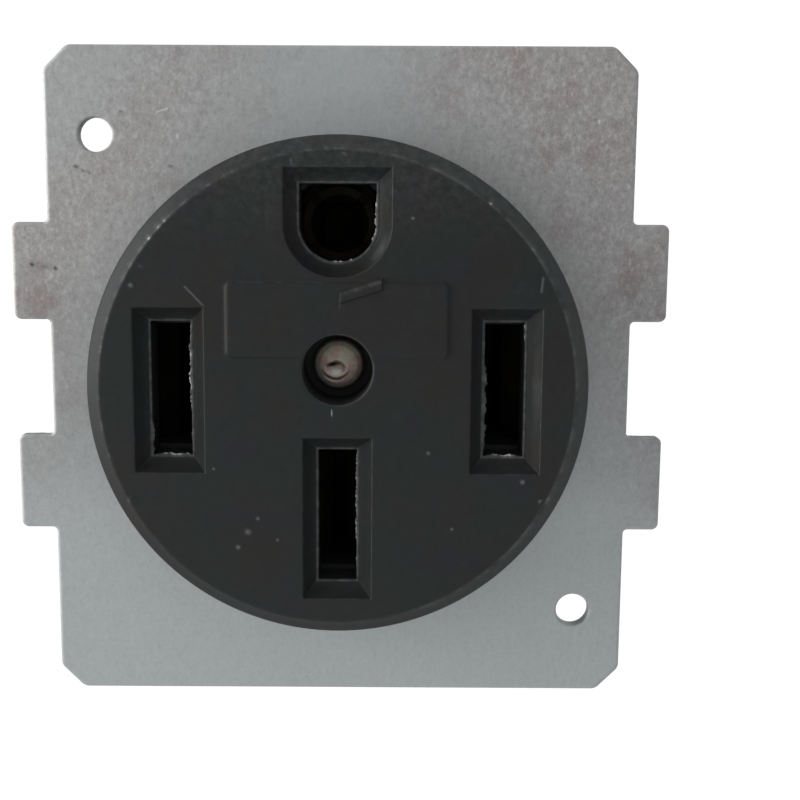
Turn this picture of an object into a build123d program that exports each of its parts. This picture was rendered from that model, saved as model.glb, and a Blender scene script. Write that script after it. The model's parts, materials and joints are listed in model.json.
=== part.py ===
"""Four prong power receptacle: a round moulded face on a pressed steel strap, with its terminals behind.

The origin is the centre of the strap's rear face, which lies against the outlet box. -Y points out of the
wall towards the plug, +Z is up and +X is right as the plug sees it. Heights below are measured from the
strap's rear face: positive towards the plug, negative into the box.
"""

import os
from math import atan, degrees, sqrt

from build123d import *

# Pressed steel strap
strap_thickness = 1.5
strap_width = 66.6
strap_height = 74.9
strap_corner_cut = 2.7
ear_reach = 4.1
ear_length = 11.1
ear_inner_height = 6.7
ear_corner_radius = 0.8
ear_root_radius = 0.5
strap_edge_break = 0.15
screw_circle = 78.0
screw_hole = 3.8

# Moulded face cover
face_diameter = 54.0
face_rise = 9.9
face_bevel_width = 1.55
face_bevel_depth = 1.25
face_edge_break = 0.3
face_wall = 5.4
skirt_wall = 2.8
panel_width = 23.9
panel_height = 8.35
panel_centre = 7.6
panel_rise = 0.3
panel_draft = 20.0
patch_left = 0.16
patch_width = 4.7
patch_height = 1.46
patch_lean = 1.47
patch_overrun = 0.4
patch_rise = 0.2

# Openings for the plug's blades and its ground pin
line_slot_offset = 17.92
neutral_slot_offset = 13.92
ground_slot_offset = 17.8
line_slot_width = 4.3
neutral_slot_width = 4.2
slot_length = 14.6
ground_slot_width = 8.2
ground_slot_length = 8.3
slot_bevel_width = 1.6
slot_bevel_depth = 2.0

# Moulded rear housing
housing_depth = 30.0
lug_recess = 1.0
housing_flat_depth = 3.0
housing_corner_radius = 2.0
housing_edge_chamfer = 1.0
boss_clearance = 0.2
key_width = 5.0
key_reach = 1.4
core_pocket_depth = 19.0
core_pocket_wall = 2.6
core_pocket_radius = 1.6
core_pocket_draft = 1.0

# Blade and pin contacts of drawn brass
leaf_thickness = 1.0
leaf_width = 13.0
leaf_gap = 2.4
leaf_pinch = 1.4
leaf_flare = 4.2
leaf_pinch_height = 0.2
leaf_mouth_depth = 2.4
leaf_bow_length = 5.5
line_floor = 11.2
ground_floor = 13.2
sleeve_bore = 4.9
sleeve_wall = 0.9
sleeve_flare = 0.8
sleeve_slit_width = 1.1
sleeve_slit_length = 12.0
tail_width = 8.6
tail_clearance = 0.1
tail_overhang = 0.4
cavity_clearance = 0.3

# Terminal lugs, pressure plates and clamp screws
lug_width = 12.0
lug_length = 10.2
lug_side_wall = 1.6
lug_inner_wall = 1.6
lug_outer_wall = 2.0
lug_opening = 9.3
lug_edge_radius = 1.0
pocket_clearance = 0.2
pocket_roof = 1.2
plate_thickness = 1.0
plate_lip = 2.0
plate_slack = 0.1
wire_gap = 5.9
screw_diameter = 6.0
screw_length = 6.5
screw_slot_width = 1.1
screw_slot_depth = 1.5
screw_chamfer = 0.6
entry_width = 8.6
entry_height = 6.8
entry_radius = 1.2
entry_chamfer = 1.0

# Assembly rivet, a little above the centre
rivet_offset = 2.3
rivet_shank = 4.4
rivet_hole_clearance = 0.1
rivet_head = 5.7
rivet_head_height = 1.6
rivet_head_round = 1.3
rivet_dimple = 2.2
rivet_dimple_depth = 0.7
rivet_well = 7.5
rivet_well_depth = 6.4
rivet_well_floor = 1.5
spigot_diameter = 13.0
washer_diameter = 9.0
washer_thickness = 0.8
rivet_roll = 6.6
rivet_roll_height = 1.4
rivet_roll_chamfer = 0.5
rivet_bore = 2.6
rivet_bore_depth = 4.0
rear_well_diameter = 10.0
rear_well_depth = 4.0

# Ground bonding strip
bond_thickness = 0.8
bond_width = 6.0
bond_eye_wall = 1.8
bond_inset = 0.5

# Widths, heights and radii that follow from those
ear_span = strap_width + 2 * ear_reach
face_height = strap_thickness + face_rise
rim_height = face_height - face_bevel_depth
cover_inside = face_height - face_wall
skirt_bore = face_diameter / 2 - skirt_wall
boss_radius = skirt_bore - boss_clearance
boss_height = cover_inside - boss_clearance
well_floor = face_height - rivet_well_depth
spigot_end = well_floor - rivet_well_floor

sleeve_radius = sleeve_bore / 2 + sleeve_wall
sleeve_offset = ground_slot_offset - ground_slot_length / 2 + ground_slot_width / 2
tail_inner = line_slot_offset - leaf_gap / 2 - leaf_thickness
tail_outer = tail_inner + leaf_thickness
lug_inner = tail_inner - lug_inner_wall
lug_outer = tail_inner + lug_opening + lug_outer_wall
plate_inner = tail_outer + wire_gap
plate_outer = plate_inner + plate_thickness
entry_middle = (tail_outer + plate_inner) / 2
pocket_top = -ground_floor - pocket_roof
pocket_length = lug_length + 2 * (plate_slack + plate_thickness + pocket_clearance)
lug_middle = pocket_top - pocket_length / 2
housing_flats = 2 * (lug_outer + lug_recess)
housing_diameter = housing_flats + 2 * housing_flat_depth
leaf_top = leaf_pinch_height + leaf_mouth_depth
bond_reach = housing_flats / 2 - bond_inset

# Outward directions of the four terminals
terminals = {
    "line_x": Vector(-1, 0, 0),
    "line_y": Vector(1, 0, 0),
    "neutral": Vector(0, 0, -1),
    "ground": Vector(0, 0, 1),
}

to_plug = Vector(0, -1, 0)
front = Plane.XZ


def station(name, height=0.0):
    """Plane that faces the plug at a height: local x points out through one terminal."""
    return Plane(origin=to_plug * height, x_dir=terminals[name], z_dir=to_plug)


def side_view(name, radius=0.0):
    """Plane along one terminal, starting at a radius: local x is outwards and local y is height."""
    outward = terminals[name]
    return Plane(origin=outward * radius, x_dir=outward, z_dir=outward.cross(to_plug))


def end_view(name, radius=0.0):
    """Plane across one terminal at a radius: local x is sideways and local y is height."""
    outward = terminals[name]
    return Plane(origin=outward * radius, x_dir=to_plug.cross(outward), z_dir=outward)


def rivet_view(height=0.0):
    """Plane that faces the plug at a height, with its origin on the rivet's axis."""
    return Plane(origin=(0, -height, rivet_offset), x_dir=(1, 0, 0), z_dir=(0, -1, 0))


def rivet_rear_view(height):
    """Plane that faces away from the plug at a height, with its origin on the rivet's axis."""
    return Plane(origin=(0, -height, rivet_offset), x_dir=(-1, 0, 0), z_dir=(0, 1, 0))


def plug_opening(name, height, grow=0.0):
    """Outline of one terminal's opening in the face, grown by its bevel."""
    with BuildSketch(station(name, height)) as outline:
        if name == "ground":
            radius = ground_slot_width / 2
            with Locations((sleeve_offset, 0)):
                Circle(radius + grow)
                Rectangle(ground_slot_length - radius + grow, 2 * (radius + grow), align=(Align.MIN, Align.CENTER))
        elif name == "neutral":
            with Locations((neutral_slot_offset, 0)):
                Rectangle(slot_length + 2 * grow, neutral_slot_width + 2 * grow)
        else:
            with Locations((line_slot_offset, 0)):
                Rectangle(line_slot_width + 2 * grow, slot_length + 2 * grow)
    return outline.sketch


def bar(name, bottom, inner, outer, width, length):
    """Upright rectangular bar on one terminal, between two radii, centred sideways."""
    with BuildSketch(station(name, bottom)) as section:
        with Locations((inner, 0)):
            Rectangle(outer - inner, width, align=(Align.MIN, Align.CENTER))
    with BuildPart() as solid:
        extrude(section.sketch, amount=length)
    return solid.part


def blade_leaves(plane):
    """Section of a blade contact: two leaves on a bridge, bowed to a pinch and flared at the mouth."""
    straight = leaf_gap / 2 + leaf_thickness / 2
    pinch = leaf_pinch / 2 + leaf_thickness / 2
    flare = leaf_flare / 2 + leaf_thickness / 2
    bridge = leaf_thickness / 2 - line_floor
    bow_height = leaf_pinch_height - leaf_bow_length
    with BuildSketch(plane) as section:
        with BuildLine():
            FilletPolyline(
                (-flare, leaf_top),
                (-pinch, leaf_pinch_height),
                (-straight, bow_height),
                (-straight, bridge),
                (straight, bridge),
                (straight, bow_height),
                (pinch, leaf_pinch_height),
                (flare, leaf_top),
                radius=leaf_thickness,
            )
        trace(line_width=leaf_thickness)
    return section.sketch


def contact_cavity(name):
    """Room for one contact, open at the boss's front."""
    mouth = leaf_flare + 2 * leaf_thickness + 2 * cavity_clearance
    span = leaf_width + 2 * cavity_clearance
    if name == "ground":
        reach = sleeve_radius + cavity_clearance
        width = tail_width + 2 * cavity_clearance
        height = ground_floor + boss_height
        return bar(name, -ground_floor, sleeve_offset - reach, sleeve_offset + reach, width, height)
    height = line_floor + boss_height
    if name == "neutral":
        middle = neutral_slot_offset
        return bar(name, -line_floor, middle - span / 2, middle + span / 2, mouth, height)
    middle = line_slot_offset
    return bar(name, -line_floor, middle - mouth / 2, middle + mouth / 2, span, height)


def tail_slot(name):
    """Slot that a contact's tail goes down, from the boss's front into its lug pocket."""
    inner = tail_inner - tail_clearance
    outer = tail_outer + tail_clearance
    return bar(name, pocket_top, inner, outer, tail_width + 2 * tail_clearance, boss_height - pocket_top)


def lug_pocket(name):
    """Pocket for one lug, open at the housing's flat."""
    width = lug_width + 2 * pocket_clearance
    bottom = pocket_top - pocket_length
    return bar(name, bottom, lug_inner - pocket_clearance, housing_diameter / 2, width, pocket_length)


def contact_tail(name, top):
    """Flat tail of one contact, from a height down through the lug."""
    bottom = lug_middle - lug_length / 2 - tail_overhang
    return bar(name, bottom, tail_inner, tail_outer, tail_width, top - bottom)


def write(piece, label):
    """Labels one finished piece and writes it to its own file."""
    piece.part.label = label
    export_step(piece.part, f"parts/{label}.step")


os.makedirs("parts", exist_ok=True)

# Strap: one pressing with four ears, cut corners, two screw holes and a keyed aperture
hole_offset = screw_circle / 2 / sqrt(2)
ear_centre = ear_inner_height + ear_length / 2
with BuildPart() as mounting_strap:
    with BuildSketch(front) as blank:
        Rectangle(strap_width, strap_height)
        chamfer(blank.vertices(), length=strap_corner_cut)
        with GridLocations(0, 2 * ear_centre, 1, 2):
            Rectangle(ear_span, ear_length)
        by_side = blank.vertices().group_by(lambda v: abs(v.X))
        fillet(by_side[-1], radius=ear_corner_radius)
        ear_roots = blank.vertices().filter_by(lambda v: abs(v.Y) < ear_centre + 0.6 * ear_length)
        fillet(ear_roots.group_by(lambda v: abs(v.X))[0], radius=ear_root_radius)
        with Locations((-hole_offset, hole_offset), (hole_offset, -hole_offset)):
            Circle(screw_hole / 2, mode=Mode.SUBTRACT)
        Circle(skirt_bore, mode=Mode.SUBTRACT)
        with PolarLocations(skirt_bore, 4, start_angle=45):
            Rectangle(2 * key_reach, key_width, mode=Mode.SUBTRACT)
    extrude(amount=strap_thickness)
    chamfer(mounting_strap.faces().sort_by(Axis.Y)[0].outer_wire().edges(), length=strap_edge_break)
write(mounting_strap, "mounting_strap")

# Face cover: a moulded cap whose skirt stands on the strap, with bevelled openings and a bare name panel that
# has a small slanted patch on its upper edge
with BuildPart() as face_cover:
    with BuildSketch(side_view("line_y")) as half:
        with BuildLine():
            Polyline(
                (0, cover_inside),
                (skirt_bore, cover_inside),
                (skirt_bore, strap_thickness),
                (face_diameter / 2, strap_thickness),
                (face_diameter / 2, rim_height),
                (face_diameter / 2 - face_bevel_width, face_height),
                (0, face_height),
                close=True,
            )
        make_face()
        bevel_ends = half.vertices().filter_by(lambda v: v.Y > cover_inside and v.X > skirt_bore)
        chamfer(bevel_ends, length=face_edge_break)
    revolve(axis=Axis.Y)
    with BuildSketch(rivet_view(spigot_end)):
        Circle(spigot_diameter / 2)
    extrude(amount=cover_inside - spigot_end)
    with BuildSketch(front.offset(face_height)):
        with Locations((0, panel_centre)):
            Rectangle(panel_width, panel_height)
    extrude(amount=panel_rise, taper=panel_draft)
    patch_right = patch_left + patch_width
    patch_top = panel_centre + panel_height / 2 + patch_overrun
    with BuildSketch(front.offset(face_height)):
        with BuildLine():
            Polyline(
                (patch_left, patch_top - patch_lean - patch_height),
                (patch_right, patch_top - patch_height),
                (patch_right, patch_top),
                (patch_left, patch_top - patch_lean),
                close=True,
            )
        make_face()
    extrude(amount=panel_rise + patch_rise, taper=panel_draft)
    bevel_angle = degrees(atan(slot_bevel_width / slot_bevel_depth))
    for name in terminals:
        mouth = plug_opening(name, face_height, slot_bevel_width)
        extrude(mouth, amount=-slot_bevel_depth, taper=bevel_angle, mode=Mode.SUBTRACT)
        throat = plug_opening(name, face_height)
        extrude(throat, amount=-face_wall, mode=Mode.SUBTRACT)
    with Locations(rivet_view(face_height + panel_rise)):
        CounterBoreHole(
            radius=rivet_shank / 2 + rivet_hole_clearance,
            counter_bore_radius=rivet_well / 2,
            counter_bore_depth=rivet_well_depth + panel_rise,
        )
write(face_cover, "face_cover")

# Rear housing: one moulding with a keyed boss that fits up through the strap into the cover, a cavity for
# each contact, a side pocket for each lug, a wire entry behind each lug and a core pocket in each corner
core_inner = lug_width / 2 + pocket_clearance + core_pocket_wall
core_outer = housing_flats / 2 - core_pocket_wall
eye_radius = sleeve_radius + bond_eye_wall
with BuildPart() as rear_housing:
    with BuildSketch(front):
        Circle(housing_diameter / 2)
        Rectangle(housing_flats, housing_flats, mode=Mode.INTERSECT)
    extrude(amount=-housing_depth)
    fillet(rear_housing.edges().filter_by(Axis.Y), radius=housing_corner_radius)
    chamfer(rear_housing.faces().sort_by(Axis.Y)[-1].edges(), length=housing_edge_chamfer)
    with BuildSketch(front):
        Circle(boss_radius)
    extrude(amount=boss_height)
    with BuildSketch(front):
        with PolarLocations(skirt_bore, 4, start_angle=45):
            Rectangle(2 * (key_reach - boss_clearance), key_width - 2 * boss_clearance)
    extrude(amount=strap_thickness - boss_clearance)
    with BuildSketch(front.offset(-housing_depth)) as core_pockets:
        Circle(housing_diameter / 2 - core_pocket_wall)
        Rectangle(2 * core_outer, 2 * core_outer, mode=Mode.INTERSECT)
        Rectangle(housing_diameter, 2 * core_inner, mode=Mode.SUBTRACT)
        Rectangle(2 * core_inner, housing_diameter, mode=Mode.SUBTRACT)
        fillet(core_pockets.vertices(), radius=core_pocket_radius)
    extrude(amount=core_pocket_depth, taper=core_pocket_draft, mode=Mode.SUBTRACT)
    with BuildSketch(rivet_view(boss_height)):
        Circle(spigot_diameter / 2 + boss_clearance)
    extrude(amount=spigot_end - boss_clearance - boss_height, mode=Mode.SUBTRACT)
    with Locations(rivet_rear_view(-housing_depth)):
        CounterBoreHole(
            radius=rivet_shank / 2 + rivet_hole_clearance,
            counter_bore_radius=rear_well_diameter / 2,
            counter_bore_depth=rear_well_depth,
        )
    for name in terminals:
        add(contact_cavity(name), mode=Mode.SUBTRACT)
        add(tail_slot(name), mode=Mode.SUBTRACT)
        add(lug_pocket(name), mode=Mode.SUBTRACT)
        with BuildSketch(station(name, -housing_depth)):
            with Locations((entry_middle, 0)):
                RectangleRounded(entry_height, entry_width, entry_radius)
        extrude(amount=housing_depth + pocket_top, mode=Mode.SUBTRACT)
        with BuildSketch(station(name, -housing_depth)):
            with Locations((entry_middle, 0)):
                Rectangle(entry_height + 2 * entry_chamfer, entry_width + 2 * entry_chamfer)
        extrude(amount=entry_chamfer, taper=45, mode=Mode.SUBTRACT)
    with BuildSketch(station("ground", -bond_thickness)):
        with Locations((sleeve_offset, 0)):
            Circle(eye_radius + boss_clearance)
            Rectangle(
                bond_reach + boss_clearance - sleeve_offset,
                bond_width + 2 * boss_clearance,
                align=(Align.MIN, Align.CENTER),
            )
    extrude(amount=bond_thickness + boss_height, mode=Mode.SUBTRACT)
write(rear_housing, "rear_housing")

# Line and neutral contacts: the line blades lie across their radius and the neutral blade along it
for name in ("line_x", "line_y", "neutral"):
    if name == "neutral":
        leaf_plane = end_view(name, neutral_slot_offset)
        tail_top = leaf_thickness - line_floor
    else:
        leaf_plane = side_view(name, line_slot_offset)
        tail_top = 1.5 * leaf_thickness - line_floor
    with BuildPart() as blade_contact:
        extrude(blade_leaves(leaf_plane), amount=leaf_width / 2, both=True)
        add(contact_tail(name, tail_top))
    write(blade_contact, f"{name}_contact")

# Ground contact: a round sleeve, slit into four fingers and flared at its mouth, on a base and tail
with BuildPart() as ground_contact:
    with BuildSketch(side_view("ground", sleeve_offset)):
        with BuildLine():
            Polyline(
                (sleeve_bore / 2, -ground_floor),
                (sleeve_radius, -ground_floor),
                (sleeve_radius, leaf_pinch_height),
                (sleeve_radius + sleeve_flare, leaf_top),
                (sleeve_bore / 2 + sleeve_flare, leaf_top),
                (sleeve_bore / 2, leaf_pinch_height),
                close=True,
            )
        make_face()
    revolve(axis=Axis((0, 0, sleeve_offset), (0, 1, 0)))
    with BuildSketch(station("ground", leaf_top)):
        with Locations((sleeve_offset, 0)):
            with PolarLocations(0, 2, start_angle=45, angular_range=180):
                Rectangle(3 * sleeve_radius, sleeve_slit_width)
    extrude(amount=-sleeve_slit_length, mode=Mode.SUBTRACT)
    base_inner = sleeve_offset - sleeve_radius
    add(bar("ground", -ground_floor, base_inner, sleeve_offset + sleeve_radius, tail_width, leaf_thickness))
    add(contact_tail("ground", leaf_thickness - ground_floor))
write(ground_contact, "ground_contact")

# Each terminal: a box lug round the contact's tail, a lipped pressure plate in it, and its clamp screw
for name in terminals:
    with BuildPart() as lug:
        with BuildSketch(station(name, lug_middle - lug_length / 2)):
            with Locations(((lug_inner + lug_outer) / 2, 0)):
                RectangleRounded(lug_outer - lug_inner, lug_width, lug_edge_radius)
            with Locations((tail_inner, 0)):
                opening_width = lug_width - 2 * lug_side_wall
                align = (Align.MIN, Align.CENTER)
                Rectangle(lug_opening, opening_width, align=align, mode=Mode.SUBTRACT)
        extrude(amount=lug_length)
        with BuildSketch(end_view(name, lug_outer)):
            with Locations((0, lug_middle)):
                Circle(screw_diameter / 2)
        extrude(amount=-lug_outer_wall, mode=Mode.SUBTRACT)
    write(lug, f"{name}_lug")

    with BuildPart() as pressure_plate:
        with BuildSketch(side_view(name)) as plate_section:
            with BuildLine():
                web = plate_inner + plate_thickness / 2
                lip = lug_length / 2 + plate_slack + plate_thickness / 2
                FilletPolyline(
                    (plate_inner + plate_lip + plate_thickness, lug_middle + lip),
                    (web, lug_middle + lip),
                    (web, lug_middle - lip),
                    (plate_inner + plate_lip + plate_thickness, lug_middle - lip),
                    radius=plate_thickness,
                )
            trace(line_width=plate_thickness)
        extrude(amount=tail_width / 2, both=True)
    write(pressure_plate, f"{name}_pressure_plate")

    with BuildPart() as clamp_screw:
        with BuildSketch(end_view(name, plate_outer)):
            with Locations((0, lug_middle)):
                Circle(screw_diameter / 2)
        extrude(amount=screw_length)
        rims = clamp_screw.edges().filter_by(GeomType.CIRCLE)
        chamfer(rims.sort_by(lambda rim: rim.center().dot(terminals[name]))[-1], length=screw_chamfer)
        with BuildSketch(end_view(name, plate_outer + screw_length)):
            with Locations((0, lug_middle)):
                Rectangle(screw_diameter, screw_slot_width)
        extrude(amount=-screw_slot_depth, mode=Mode.SUBTRACT)
    write(clamp_screw, f"{name}_clamp_screw")

# Ground bonding strip: an eye round the ground sleeve, with a foot clamped under the strap
with BuildPart() as bonding_strip:
    with BuildSketch(station("ground", -bond_thickness)) as strip:
        with Locations((sleeve_offset, 0)):
            foot = (bond_reach - sleeve_offset, bond_width)
            Rectangle(*foot, align=(Align.MIN, Align.CENTER))
        fillet(strip.vertices().group_by(Axis.Y)[-1], radius=bond_width / 4)
        with Locations((sleeve_offset, 0)):
            Circle(eye_radius)
            Circle(sleeve_radius, mode=Mode.SUBTRACT)
    extrude(amount=bond_thickness)
write(bonding_strip, "ground_bonding_strip")

# Assembly rivet: rolled over a washer at the rear, with a dimpled dome in the face's well
washer_face = -housing_depth + rear_well_depth - washer_thickness
with BuildPart() as rivet_washer:
    with BuildSketch(rivet_view(washer_face)):
        Circle(washer_diameter / 2)
        Circle(rivet_shank / 2 + rivet_hole_clearance, mode=Mode.SUBTRACT)
    extrude(amount=washer_thickness)
write(rivet_washer, "rivet_washer")

head_top = well_floor + rivet_head_height
roll_end = washer_face - rivet_roll_height
with BuildPart() as assembly_rivet:
    with BuildSketch(Plane(origin=(0, 0, rivet_offset), x_dir=(1, 0, 0), z_dir=(0, 0, -1))) as half:
        with BuildLine():
            Polyline(
                (0, head_top - rivet_dimple_depth),
                (rivet_dimple / 2, head_top),
                (rivet_head / 2, head_top),
                (rivet_head / 2, well_floor),
                (rivet_shank / 2, well_floor),
                (rivet_shank / 2, washer_face),
                (rivet_roll / 2, washer_face),
                (rivet_roll / 2, roll_end),
                (rivet_bore / 2, roll_end),
                (rivet_bore / 2, roll_end + rivet_bore_depth),
                (0, roll_end + rivet_bore_depth),
                close=True,
            )
        make_face()
        by_radius = half.vertices().sort_by(Axis.Y)
        fillet(by_radius[-2:].sort_by(Axis.X)[-1], radius=rivet_head_round)
        chamfer(half.vertices().sort_by(Axis.Y)[:2], length=rivet_roll_chamfer)
    revolve(axis=Axis((0, 0, rivet_offset), (0, 1, 0)))
write(assembly_rivet, "assembly_rivet")
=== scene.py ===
# %% [markdown]
# # Four prong power receptacle
#
# A round black moulding stands on a pressed steel strap. Three blade slots and a U-shaped ground
# opening lead to brass contacts in a second moulding behind the strap, and one rivet holds the
# stack together.
#
# The frame below holds every piece at its real size. What follows gives each one its looks: pieces
# whose edges and wear show are worked out again as finer surfaces, and the others keep their mesh
# and get a finish.

# %% Load the fixed frame
import json

import bpy
import bmesh
import numpy as np
from mathutils import Euler, Matrix, Vector
from mathutils.geometry import delaunay_2d_cdt


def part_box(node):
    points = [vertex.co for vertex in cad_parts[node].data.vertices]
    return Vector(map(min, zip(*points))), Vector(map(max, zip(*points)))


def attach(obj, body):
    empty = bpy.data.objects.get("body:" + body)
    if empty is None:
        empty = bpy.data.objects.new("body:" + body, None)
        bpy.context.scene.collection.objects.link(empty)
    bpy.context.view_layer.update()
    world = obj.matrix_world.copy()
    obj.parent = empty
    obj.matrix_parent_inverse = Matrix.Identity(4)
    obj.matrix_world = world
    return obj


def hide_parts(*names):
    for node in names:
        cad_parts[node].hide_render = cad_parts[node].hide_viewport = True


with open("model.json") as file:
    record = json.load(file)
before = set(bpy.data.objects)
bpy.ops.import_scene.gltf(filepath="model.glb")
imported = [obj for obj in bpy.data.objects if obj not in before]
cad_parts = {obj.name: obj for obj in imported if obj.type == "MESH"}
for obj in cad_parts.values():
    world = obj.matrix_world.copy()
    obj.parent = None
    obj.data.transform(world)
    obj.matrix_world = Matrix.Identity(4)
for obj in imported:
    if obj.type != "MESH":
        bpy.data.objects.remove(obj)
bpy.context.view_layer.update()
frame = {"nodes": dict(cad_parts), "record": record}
scene = bpy.context.scene
MM = 0.001
print("pieces in the frame:", len(frame["nodes"]))


# %% [markdown]
# ## Measures
#
# The frame says where each piece is, so the main sizes are read from it and only the ones inside a
# piece are named here. All of them are millimetres. A place on the face is (x, z), and a height is
# the distance in front of the strap's rear, which is -y.

# %% Sizes from the frame
def span(node):
    """Lowest and highest corner of a node in millimetres."""
    low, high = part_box(node)
    return np.array(low) / MM, np.array(high) / MM


cover_low, cover_high = span("face_cover")
strap_low, strap_high = span("mounting_strap")
rivet_low, rivet_high = span("assembly_rivet")
_, washer_high = span("rivet_washer")

panel_rise = 0.3
patch_rise = 0.2
face_radius = (cover_high[0] - cover_low[0]) / 2
face_height = -cover_low[1] - panel_rise - patch_rise
strap_front = -strap_low[1]
rivet_place = np.array([0.0, (rivet_low[2] + rivet_high[2]) / 2])
rivet_rear = -rivet_high[1]
washer_rear = -washer_high[1]
print("face radius", round(face_radius, 2), "height", round(face_height, 2))

# %% [markdown]
# ## Camera
#
# The photograph was taken from close by, a little above the middle and looking slightly down, and
# its frame is off centre. A lens of 47 mm at an eighth of a metre gives the same widening of the
# near face against the strap. The small shift puts the part where the photograph has it.

# %% Camera at the photograph's place
camera_distance = 120.22
camera_height = 17.26
camera_side = 3.75
camera_tilt = 7.12
camera_yaw = 0.138
camera_roll = 0.27
camera_lens = 47.33
camera_shift = (0.0365, -0.0505)

camera_data = bpy.data.cameras.new("camera")
camera_data.lens = camera_lens
camera_data.sensor_width = 36.0
camera_data.shift_x, camera_data.shift_y = camera_shift
camera_data.clip_start = 0.01
camera = bpy.data.objects.new("camera", camera_data)
camera.location = np.array([camera_side, -strap_front - camera_distance, camera_height]) * MM
turn = np.radians([90.0 - camera_tilt, -camera_roll, camera_yaw])
camera.rotation_euler = Euler(turn, "XYZ")
scene.collection.objects.link(camera)
scene.camera = camera
print("camera at", [round(v, 4) for v in camera.location])


# %% [markdown]
# ## Finishes written as sums
#
# A procedural finish is arithmetic on patterns. Adding a node for every plus and times hides that,
# so one small class wraps a socket: an expression on wrapped sockets adds the Math nodes by
# itself. Colours are not single numbers, so they go through a Mix node, and every node comes from
# one method.

# %% A socket that can be added and multiplied
class Wire:
    """One output in a node tree. Arithmetic on it adds Math nodes and gives another Wire."""

    def __init__(self, nodes, socket):
        self.nodes = nodes
        self.socket = socket

    def math(self, operation, first, second=0.0):
        """One Math node; either value may be a number or a Wire."""
        return self.nodes.node("ShaderNodeMath", {"operation": operation}, {0: first, 1: second})

    def __add__(self, other):
        return self.math("ADD", self, other)

    def __radd__(self, other):
        return self.math("ADD", other, self)

    def __sub__(self, other):
        return self.math("SUBTRACT", self, other)

    def __rsub__(self, other):
        return self.math("SUBTRACT", other, self)

    def __mul__(self, other):
        return self.math("MULTIPLY", self, other)

    def __rmul__(self, other):
        return self.math("MULTIPLY", other, self)

    def __abs__(self):
        return self.math("ABSOLUTE", self)

    def above(self, low, high):
        """0 below the low value, 1 above the high one, and a smooth step between."""
        inputs = {"Value": self, "From Min": low, "From Max": high, "To Min": 0.0, "To Max": 1.0}
        return self.nodes.node("ShaderNodeMapRange", {"interpolation_type": "SMOOTHSTEP"}, inputs)


print("a wire can be added, subtracted and multiplied")


# %% One way to add a node
class Nodes:
    """The nodes of a material or of the surroundings, with one method that adds to them."""

    def __init__(self, tree):
        self.tree = tree

    def node(self, kind, settings, inputs, output=0):
        """Any node: its settings are set first, then each socket gets a value or a link.

        The answer is one of the node's outputs, or nothing for a node that ends a tree.
        """
        made = self.tree.nodes.new(kind)
        for setting, value in settings.items():
            setattr(made, setting, value)
        for socket, value in inputs.items():
            self.give(made, socket, value)
        return Wire(self, made.outputs[output]) if made.outputs else None

    def give(self, made, socket, value):
        """A value or a link for one socket of a node."""
        if isinstance(value, Wire):
            self.tree.links.new(value.socket, made.inputs[socket])
        else:
            made.inputs[socket].default_value = value


class Finish(Nodes):
    """One material: constants are set on its shader's own sockets, and patterns are linked."""

    def __init__(self, name, constants):
        self.material = bpy.data.materials.new(name)
        self.material.use_nodes = True
        super().__init__(self.material.node_tree)
        self.shader = self.tree.nodes["Principled BSDF"]
        for socket, value in constants.items():
            self.link(socket, value)

    def link(self, socket, value):
        """A pattern or a constant for one socket of the shader."""
        self.give(self.shader, socket, value)

    def place(self, stretch=(1.0, 1.0, 1.0), offset=(0.0, 0.0, 0.0)):
        """Object coordinates in millimetres, stretched and moved."""
        here = self.node("ShaderNodeTexCoord", {}, {}, "Object")
        scale = tuple(share / MM for share in stretch)
        inputs = {"Vector": here, "Scale": scale, "Location": offset}
        return self.node("ShaderNodeMapping", {}, inputs)

    def noise(self, where, pitch, detail=3.0, roughness=0.55, distortion=0.0):
        """Cloud pattern from 0 to 1, with a typical blob of one pitch in millimetres."""
        inputs = {"Vector": where, "Scale": 1.0 / pitch, "Detail": detail, "Roughness": roughness}
        inputs["Distortion"] = distortion
        return self.node("ShaderNodeTexNoise", {}, inputs, "Fac")

    def mix(self, share, first, second):
        """Blend of two colours by a share from 0 to 1."""
        inputs = {0: share, 6: first, 7: second}
        return self.node("ShaderNodeMix", {"data_type": "RGBA"}, inputs, 2)

    def attribute(self, name):
        """A number that the mesh carries for each of its points."""
        return self.node("ShaderNodeAttribute", {"attribute_name": name}, {}, "Fac")

    def coordinate(self, axis):
        """One object coordinate in millimetres: 0 is x, 1 is y and 2 is z."""
        return self.node("ShaderNodeSeparateXYZ", {}, {0: self.place()}, axis)

    def relief(self, height, depth, under=None):
        """Bump from a pattern whose full range is a depth in millimetres."""
        inputs = {"Height": height, "Distance": depth * MM, "Strength": 1.0}
        if under is not None:
            inputs["Normal"] = under
        return self.node("ShaderNodeBump", {}, inputs, "Normal")


print("finish tools ready")
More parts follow.
